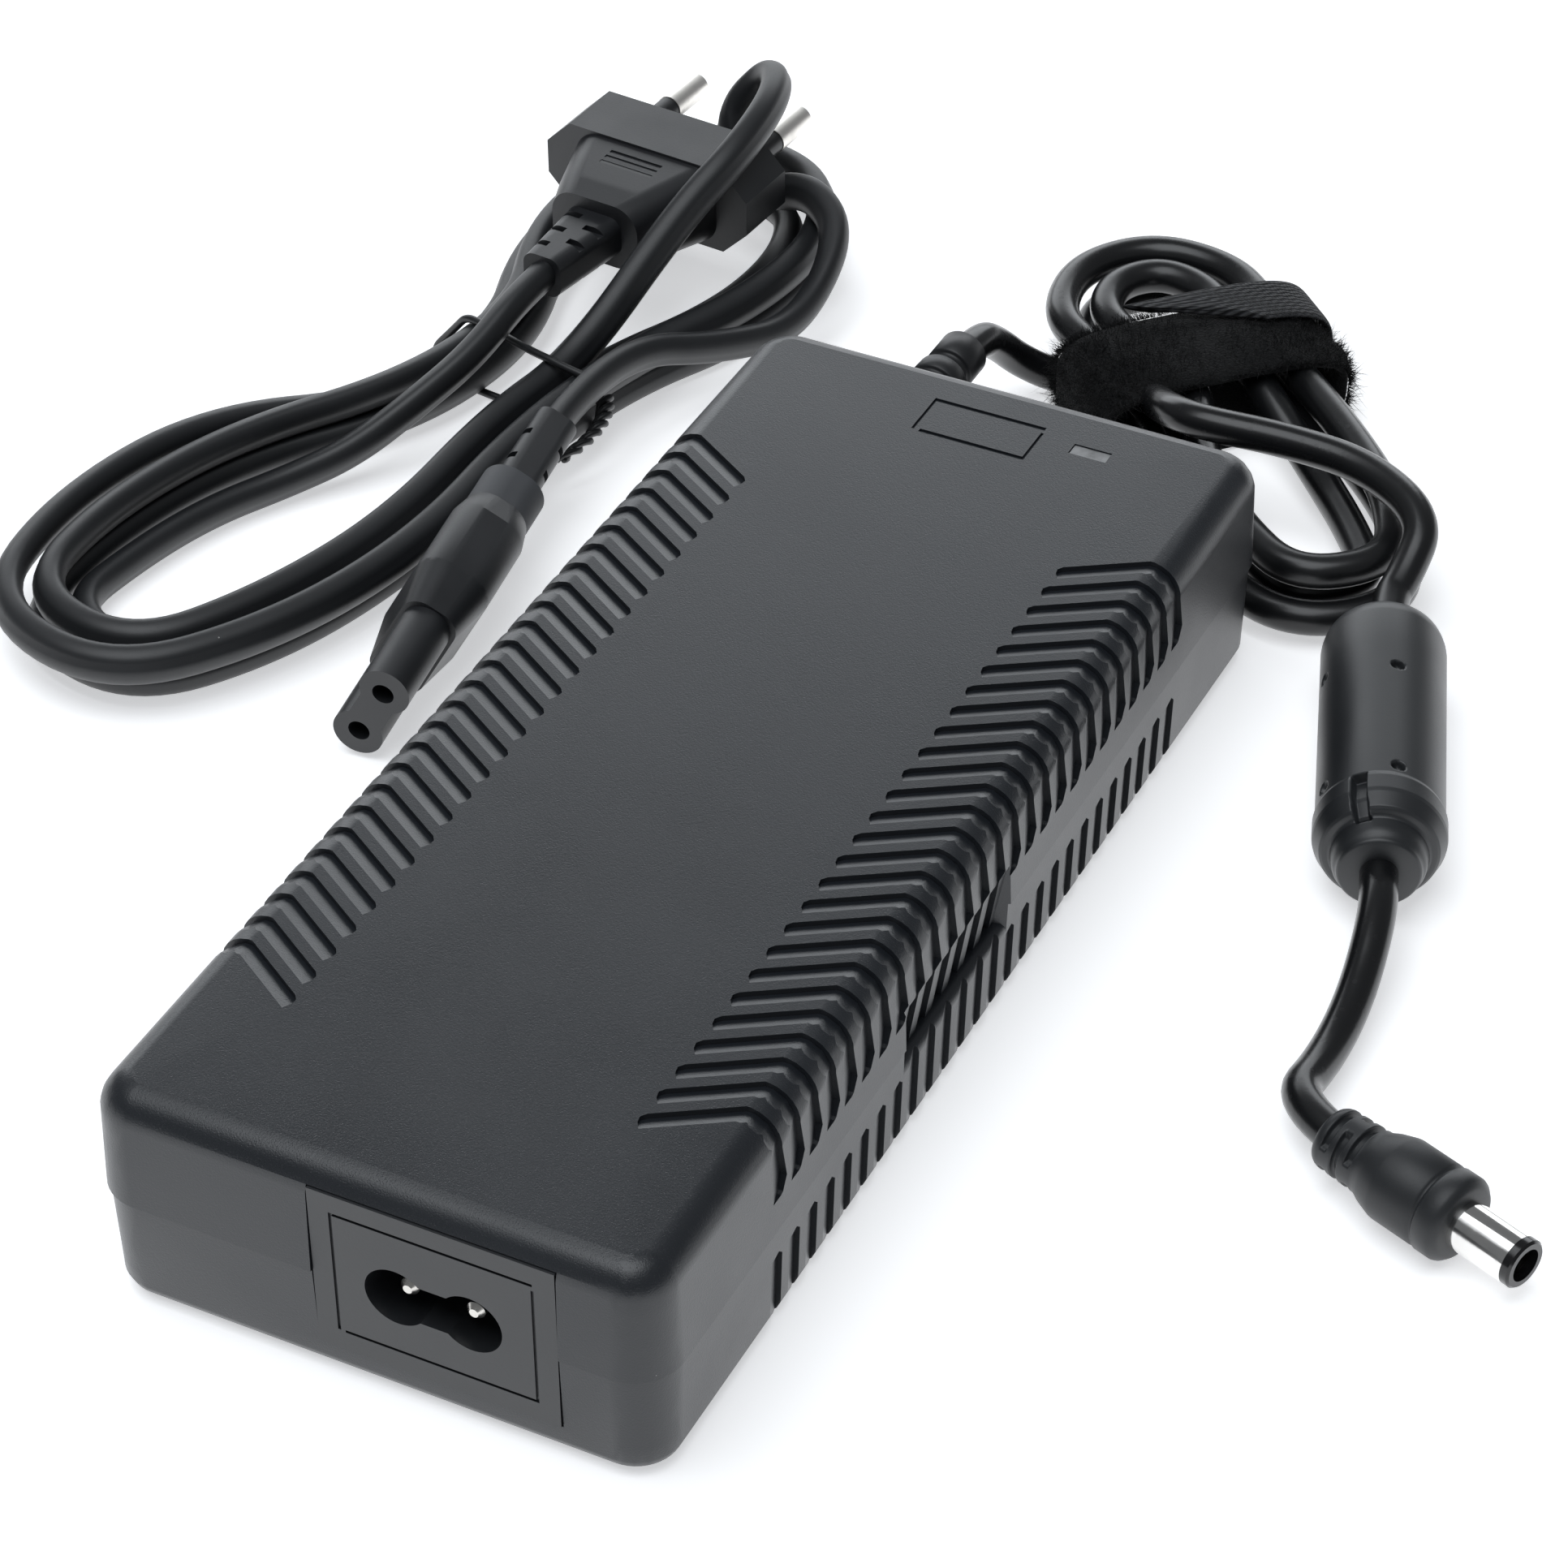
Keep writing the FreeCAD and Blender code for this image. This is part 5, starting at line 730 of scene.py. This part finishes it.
class Graph:
    """A node tree that is filled in short lines."""

    def __init__(self, tree):
        self.tree = tree

    def feed(self, node, *inputs, **named):
        """Sets or joins a node's inputs, by their order or by name with _ for each space."""
        for place, value in list(enumerate(inputs)) + list(named.items()):
            key = place if isinstance(place, int) else place.replace("_", " ")
            if isinstance(value, bpy.types.NodeSocket):
                self.tree.links.new(value, node.inputs[key])
            elif value is not None:
                node.inputs[key].default_value = value

    def add(self, kind, *inputs, options=None, **named):
        """New node of a kind, with its options and inputs."""
        node = self.tree.nodes.new(kind)
        for option, value in (options or {}).items():
            setattr(node, option, value)
        self.feed(node, *inputs, **named)
        return node

    def maths(self, operation, *values):
        return self.add("ShaderNodeMath", *values, options={"operation": operation}).outputs[0]

    def spread(self, value, low, high, out_low=0.0, out_high=1.0):
        return self.add("ShaderNodeMapRange", value, low, high, out_low, out_high).outputs[0]

    def blend(self, share, first, second):
        """Colour between two others."""
        inputs = [share] + [None] * 5 + [first, second]
        return self.add("ShaderNodeMix", *inputs, options={"data_type": "RGBA"}).outputs[2]

    def group(self, tree, **named):
        return self.add("ShaderNodeGroup", options={"node_tree": tree}, **named).outputs

    def bump(self, height, depth):
        return self.add("ShaderNodeBump", Strength=1.0, Distance=depth, Height=height).outputs[0]


def new_group(name, inputs, outputs):
    """Shader node group with named sockets, each given as name: (kind, default)."""
    tree = bpy.data.node_groups.new(name, "ShaderNodeTree")
    for label, (kind, default) in inputs.items():
        socket = tree.interface.new_socket(label, in_out="INPUT", socket_type="NodeSocket" + kind)
        if default is not None:
            socket.default_value = default
    for label in outputs:
        tree.interface.new_socket(label, in_out="OUTPUT", socket_type="NodeSocketFloat")
    graph = Graph(tree)
    return tree, graph, graph.add("NodeGroupInput").outputs, graph.add("NodeGroupOutput")


def moulded_grain():
    """Fine spark-eroded grain: two sizes of noise and rare deeper pits."""
    inputs = {"Place": ("Vector", None), "Grain size": ("Float", 0.0003)}
    tree, graph, given, result = new_group("moulded_grain", inputs, ["Height", "Pits"])
    scale = graph.maths("DIVIDE", 1.0, given["Grain size"])
    coarse = graph.add("ShaderNodeTexNoise", Vector=given["Place"], Scale=scale, Detail=2.0, Roughness=0.6)
    fewer = graph.maths("MULTIPLY", scale, 0.7)
    cells = graph.add("ShaderNodeTexVoronoi", Vector=given["Place"], Scale=fewer)
    pits = graph.spread(cells.outputs["Distance"], 0.05, 0.3)
    waves = graph.maths("MULTIPLY", coarse.outputs["Fac"], 0.7)
    graph.feed(result, Height=graph.maths("ADD", waves, graph.maths("MULTIPLY", pits, 0.3)),
               Pits=graph.maths("SUBTRACT", 1.0, pits))
    return tree


def slow_change():
    """Broad soft patches, for small differences of colour and gloss over a piece."""
    inputs = {"Place": ("Vector", None), "Patch size": ("Float", 0.02)}
    tree, graph, given, result = new_group("slow_change", inputs, ["Mask"])
    scale = graph.maths("DIVIDE", 1.0, given["Patch size"])
    noise = graph.add("ShaderNodeTexNoise", Vector=given["Place"], Scale=scale, Detail=3.0, Roughness=0.55)
    graph.feed(result, Mask=graph.spread(noise.outputs["Fac"], 0.3, 0.7))
    return tree


def dust_specks():
    """Rare pale specks: the middles of the few cells whose random number falls under the share."""
    inputs = {"Place": ("Vector", None), "Spacing": ("Float", 0.004), "Share": ("Float", 0.1),
              "Speck size": ("Float", 0.03)}
    tree, graph, given, result = new_group("dust_specks", inputs, ["Mask"])
    scale = graph.maths("DIVIDE", 1.0, given["Spacing"])
    cells = graph.add("ShaderNodeTexVoronoi", Vector=given["Place"], Scale=scale)
    number = graph.add("ShaderNodeSeparateColor", cells.outputs["Color"]).outputs[0]
    chosen = graph.maths("LESS_THAN", number, given["Share"])
    near = graph.maths("LESS_THAN", cells.outputs["Distance"], given["Speck size"])
    graph.feed(result, Mask=graph.maths("MULTIPLY", chosen, near))
    return tree


def woven_ribs():
    """Ribs of a woven tape: slanting ridges that shift from row to row, with a finer thread on them."""
    inputs = {"Along": ("Float", 0.0), "Across": ("Float", 0.0), "Rib spacing": ("Float", 0.0012)}
    tree, graph, given, result = new_group("woven_ribs", inputs, ["Height", "Thread"])
    rows = graph.maths("DIVIDE", given["Across"], graph.maths("MULTIPLY", given["Rib spacing"], 0.75))
    ribs = graph.maths("DIVIDE", given["Along"], graph.maths("MULTIPLY", given["Rib spacing"], 2.4))
    shift = graph.maths("SINE", graph.maths("MULTIPLY", ribs, FULL_CIRCLE))
    slant = graph.maths("ADD", graph.maths("MULTIPLY", rows, FULL_CIRCLE), shift)
    ridge = graph.maths("MULTIPLY_ADD", graph.maths("SINE", slant), 0.5, 0.5)
    thread = graph.maths("SINE", graph.maths("MULTIPLY_ADD", ribs, 25.0, slant))
    twist = graph.maths("MULTIPLY_ADD", thread, 0.5, 0.5)
    graph.feed(result, Height=graph.maths("MULTIPLY_ADD", twist, 0.25, ridge), Thread=twist)
    return tree


def new_material(name):
    """Material with nodes, the graph that fills it and its shader."""
    material = bpy.data.materials.new(name)
    material.use_nodes = True
    return material, Graph(material.node_tree), material.node_tree.nodes["Principled BSDF"]


def moulding(name, colour, roughness, grain_size=0.0003, grain_depth=0.00002, patch=0.02, paler=1.25,
             dust=0.0, specular=0.5, gloss_change=0.08):
    """Plastic or rubber as it leaves a mould: grain, soft patches of shade and gloss, and a few specks."""
    material, graph, shader = new_material(name)
    place = graph.add("ShaderNodeTexCoord").outputs["Object"]
    patches = graph.group(groups["slow_change"], Place=place, Patch_size=patch)["Mask"]
    shade = graph.blend(patches, (*colour, 1), (*[part * paler for part in colour], 1))
    if dust:
        specks = graph.group(groups["dust_specks"], Place=place, Share=dust)["Mask"]
        shade = graph.blend(specks, shade, DUST_COLOUR)
    grain = graph.group(groups["moulded_grain"], Place=place, Grain_size=grain_size)
    gloss = graph.spread(patches, 0.0, 1.0, roughness - gloss_change / 2, roughness + gloss_change / 2)
    graph.feed(shader, Base_Color=shade, Roughness=graph.maths("MULTIPLY_ADD", grain["Pits"], 0.06, gloss),
               Normal=graph.bump(grain["Height"], grain_depth), Specular_IOR_Level=specular)
    return material


def metal(name, colour, roughness, grain_size=0.0006):
    """Plated contact metal: faint patches of tarnish and fine polishing marks."""
    material = moulding(name, colour, roughness, grain_size, 0.000004, patch=0.006, paler=0.82,
                        gloss_change=0.1)
    material.node_tree.nodes["Principled BSDF"].inputs["Metallic"].default_value = 1.0
    return material


def pile_fabric(name):
    """Loop fabric: matt black with a soft sheen at grazing angles, tufts a third of a millimetre apart."""
    material = moulding(name, (0.0045, 0.0047, 0.005), 0.9, 0.0004, 0.00035, patch=0.004, paler=1.8,
                        specular=0.2, gloss_change=0.05)
    shader = material.node_tree.nodes["Principled BSDF"]
    shader.inputs["Sheen Weight"].default_value = 0.06
    shader.inputs["Sheen Roughness"].default_value = 0.5
    return material


def tape_fabric(name):
    """Woven tape: the ribs follow the tape's own surface, and painted shade makes the colour darker where the
    weave lies low between them.
    """
    material, graph, shader = new_material(name)
    place = graph.add("ShaderNodeAttribute", options={"attribute_name": "surface"}).outputs["Vector"]
    axes = graph.add("ShaderNodeSeparateXYZ", place).outputs
    ribs = graph.group(groups["woven_ribs"], Along=axes[0], Across=axes[1])
    # Painted shade: near black where the weave lies low between the ribs, a paler grey on their crests.
    shade = graph.blend(ribs["Height"], (0.005, 0.005, 0.0055, 1), (0.030, 0.031, 0.034, 1))
    graph.feed(shader, Base_Color=shade, Roughness=graph.spread(ribs["Thread"], 0.0, 1.0, 0.62, 0.8),
               Normal=graph.bump(ribs["Height"], 0.00025), Specular_IOR_Level=0.35)
    return material


def give(material, *pieces):
    """Puts a material in every slot of the pieces, which are objects or names of nodes."""
    for piece in pieces:
        shown = nodes[piece] if isinstance(piece, str) else piece
        if not shown.data.materials:
            shown.data.materials.append(material)
        for slot in shown.material_slots:
            slot.material = material


def finish_brick():
    """Materials of what shows of the brick."""
    give(moulding("shell_plastic", (0.0140, 0.0165, 0.0205), 0.36, 0.00024, 0.00004, patch=0.03, paler=1.12,
                  dust=0.08, specular=0.56), "top_shell", "bottom_shell")
    give(moulding("inlet_plastic", (0.0175, 0.019, 0.0215), 0.38, 0.0003, 0.00001, patch=0.01, paler=1.2,
                  dust=0.03, specular=0.6), "inlet_socket")
    give(metal("inlet_contact", (0.72, 0.70, 0.66), 0.28), "inlet_pins")
    give(moulding("lamp_window", (0.26, 0.265, 0.27), 0.35, 0.0004, 0.000008, patch=0.0025, paler=0.45),
         "indicator_lens")


def finish_inside():
    """Materials of what the brick and the ferrite sleeve hide."""
    give(moulding("board_laminate", (0.05, 0.16, 0.07), 0.45), "circuit_board")
    give(moulding("sheet_film", (0.55, 0.50, 0.38), 0.5), "insulating_sheet")
    give(moulding("part_moulding", (0.02, 0.02, 0.02), 0.5), "inlet_fuse", "bridge_rectifier",
         "switching_transistor", "rectifier_diode", "optocoupler")
    give(moulding("film_capacitor_case", (0.55, 0.42, 0.08), 0.5), "x_capacitor")
    give(moulding("choke_wire", (0.45, 0.17, 0.06), 0.3), "filter_choke")
    give(moulding("capacitor_sleeve", (0.03, 0.03, 0.06), 0.35), "bulk_capacitor", "output_capacitors")
    give(metal("heatsink_aluminium", (0.72, 0.72, 0.72), 0.4), "primary_heatsink", "secondary_heatsink")
    give(metal("screw_steel", (0.5, 0.5, 0.5), 0.35), "heatsink_screws")
    give(moulding("core_ferrite", (0.06, 0.06, 0.065), 0.6), "transformer_core", "ferrite_core")
    give(moulding("winding_tape", (0.62, 0.50, 0.12), 0.4), "transformer_winding")
    give(moulding("lamp_body", (0.30, 0.60, 0.30), 0.25), "indicator_lamp")
    give(moulding("wire_red", (0.40, 0.05, 0.04), 0.4), "output_leads")


def finish_low_voltage(cord, strap, turned):
    """Materials of the low-voltage cord and of what is on it."""
    band, tape, pile = strap
    ferrite, grip, relief = turned
    give(moulding("dc_cord_vinyl", (0.0065, 0.0068, 0.0075), 0.27, 0.0012, 0.00001, patch=0.03, paler=1.3,
                  dust=0.03, gloss_change=0.1), cord)
    give(pile_fabric("loop_fabric"), band, pile)
    give(tape_fabric("woven_tape"), tape)
    give(moulding("ferrite_sleeve_plastic", (0.014, 0.0155, 0.0175), 0.42, grain_depth=0.00001, paler=1.2,
                  dust=0.04, specular=0.6), ferrite)
    give(moulding("relief_rubber", (0.012, 0.0125, 0.014), 0.46, grain_depth=0.00001), relief)
    give(moulding("grip_vinyl", (0.0155, 0.017, 0.019), 0.46, grain_depth=0.000014, patch=0.01, paler=1.2,
                  dust=0.05), grip)
    give(metal("barrel_nickel", (0.80, 0.79, 0.77), 0.12, 0.0015), "dc_plug_barrel", "dc_plug_pin")
    give(moulding("tip_insulator", (0.007, 0.007, 0.0075), 0.2, 0.0005, 0.000004), "dc_plug_tip")


def finish_mains_lead(cord, tie):
    """Materials of the mains lead and its tie."""
    give(moulding("mains_cord_vinyl", (0.0095, 0.0104, 0.012), 0.47, 0.0005, 0.00001, patch=0.03, dust=0.03,
                  specular=0.6, gloss_change=0.1), cord)
    give(moulding("mains_moulding", (0.0115, 0.0125, 0.0145), 0.44, 0.00035, 0.000012, patch=0.012, dust=0.05,
                  specular=0.55), "plug_body", "connector_body")
    give(moulding("pin_sleeve", (0.010, 0.0105, 0.0115), 0.4, grain_depth=0.000008), "plug_pin_sleeves")
    give(metal("mains_pin_nickel", (0.93, 0.90, 0.85), 0.42, 0.0008), "plug_pins")
    give(metal("connector_contact", (0.62, 0.58, 0.50), 0.35), "connector_contacts")
    give(moulding("band_plastic", (0.062, 0.065, 0.071), 0.6, grain_depth=0.00001, patch=0.008, paler=1.15),
         "connector_band")
    give(moulding("tie_vinyl", (0.010, 0.0108, 0.012), 0.4, 0.0004, 0.000008), *tie)


def soft_box(name, place, target, size, strength):
    """Square lamp of the given sides that looks at a point. Its strength is the radiance of its face."""
    lamp = bpy.data.lights.new(name, "AREA")
    lamp.shape = "RECTANGLE"
    lamp.size, lamp.size_y = size
    lamp.energy = strength * math.pi * size[0] * size[1]
    lamp.color = LAMP_COLOUR
    holder = bpy.data.objects.new(name, lamp)
    bpy.context.scene.collection.objects.link(holder)
    way = Vector(target) - Vector(place)
    holder.matrix_world = Matrix.Translation(place) @ way.to_track_quat("-Z", "Y").to_matrix().to_4x4()


def seen_glow(graph, straight, mirrored):
    """Glow that the camera sees, straight or in a mirror or through glass, and none as light on things."""
    rays = graph.add("ShaderNodeLightPath").outputs
    other = graph.maths("MAXIMUM", rays["Is Glossy Ray"], rays["Is Transmission Ray"])
    return graph.maths("MAXIMUM", graph.maths("MULTIPLY", rays["Is Camera Ray"], straight),
                       graph.maths("MULTIPLY", other, mirrored))


def make_floor():
    """White floor that shows the object's shadow and glows for the camera alone."""
    corners = [(-FLOOR_SIDE, -FLOOR_SIDE), (FLOOR_SIDE, -FLOOR_SIDE), (FLOOR_SIDE, FLOOR_SIDE),
               (-FLOOR_SIDE, FLOOR_SIDE)]
    mesh = bpy.data.meshes.new("floor")
    mesh.from_pydata([(x, y, -FLOOR_DROP) for x, y in corners], [], [(0, 1, 2, 3)])
    floor = bpy.data.objects.new("floor", mesh)
    bpy.context.scene.collection.objects.link(floor)
    material, graph, shader = new_material("floor_paper")
    graph.feed(shader, Base_Color=(0.93, 0.93, 0.93, 1), Roughness=0.9, Specular_IOR_Level=0.1,
               Emission_Color=(0.97, 0.98, 1.0, 1), Emission_Strength=seen_glow(graph, *FLOOR_GLOW))
    mesh.materials.append(material)


def make_studio():
    """World, two soft boxes and the floor."""
    world = bpy.data.worlds.new("studio")
    bpy.context.scene.world = world
    world.use_nodes = True
    graph = Graph(world.node_tree)
    strength = graph.maths("MAXIMUM", seen_glow(graph, *WORLD_SEEN), WORLD_LEVEL)
    graph.feed(world.node_tree.nodes["Background"], Color=(0.93, 0.96, 1.0, 1), Strength=strength)
    for name, box in SOFT_BOXES.items():
        soft_box(name, **box)
    make_floor()
    bpy.context.scene.view_settings.view_transform = "Standard"


place_camera()
dc_cord, dc_path, mains_cord, mains_path = make_cords()
strap = make_strap()
tie = make_tie(mains_path)
turned = (make_ferrite(), make_plug_grip(), make_relief())
for body, names in ROUNDED_PIECES.items():
    for name in names:
        finished(name, body)
groups = {"moulded_grain": moulded_grain(), "slow_change": slow_change(), "dust_specks": dust_specks(),
          "woven_ribs": woven_ribs()}
finish_brick()
finish_inside()
finish_low_voltage(dc_cord, strap, turned)
finish_mains_lead(mains_cord, tie)
on_dc_cord = [*strap, *turned]
on_dc_cord += [nodes[name] for name in ("ferrite_core", "dc_plug_barrel", "dc_plug_tip", "dc_plug_pin")]
make_studio()
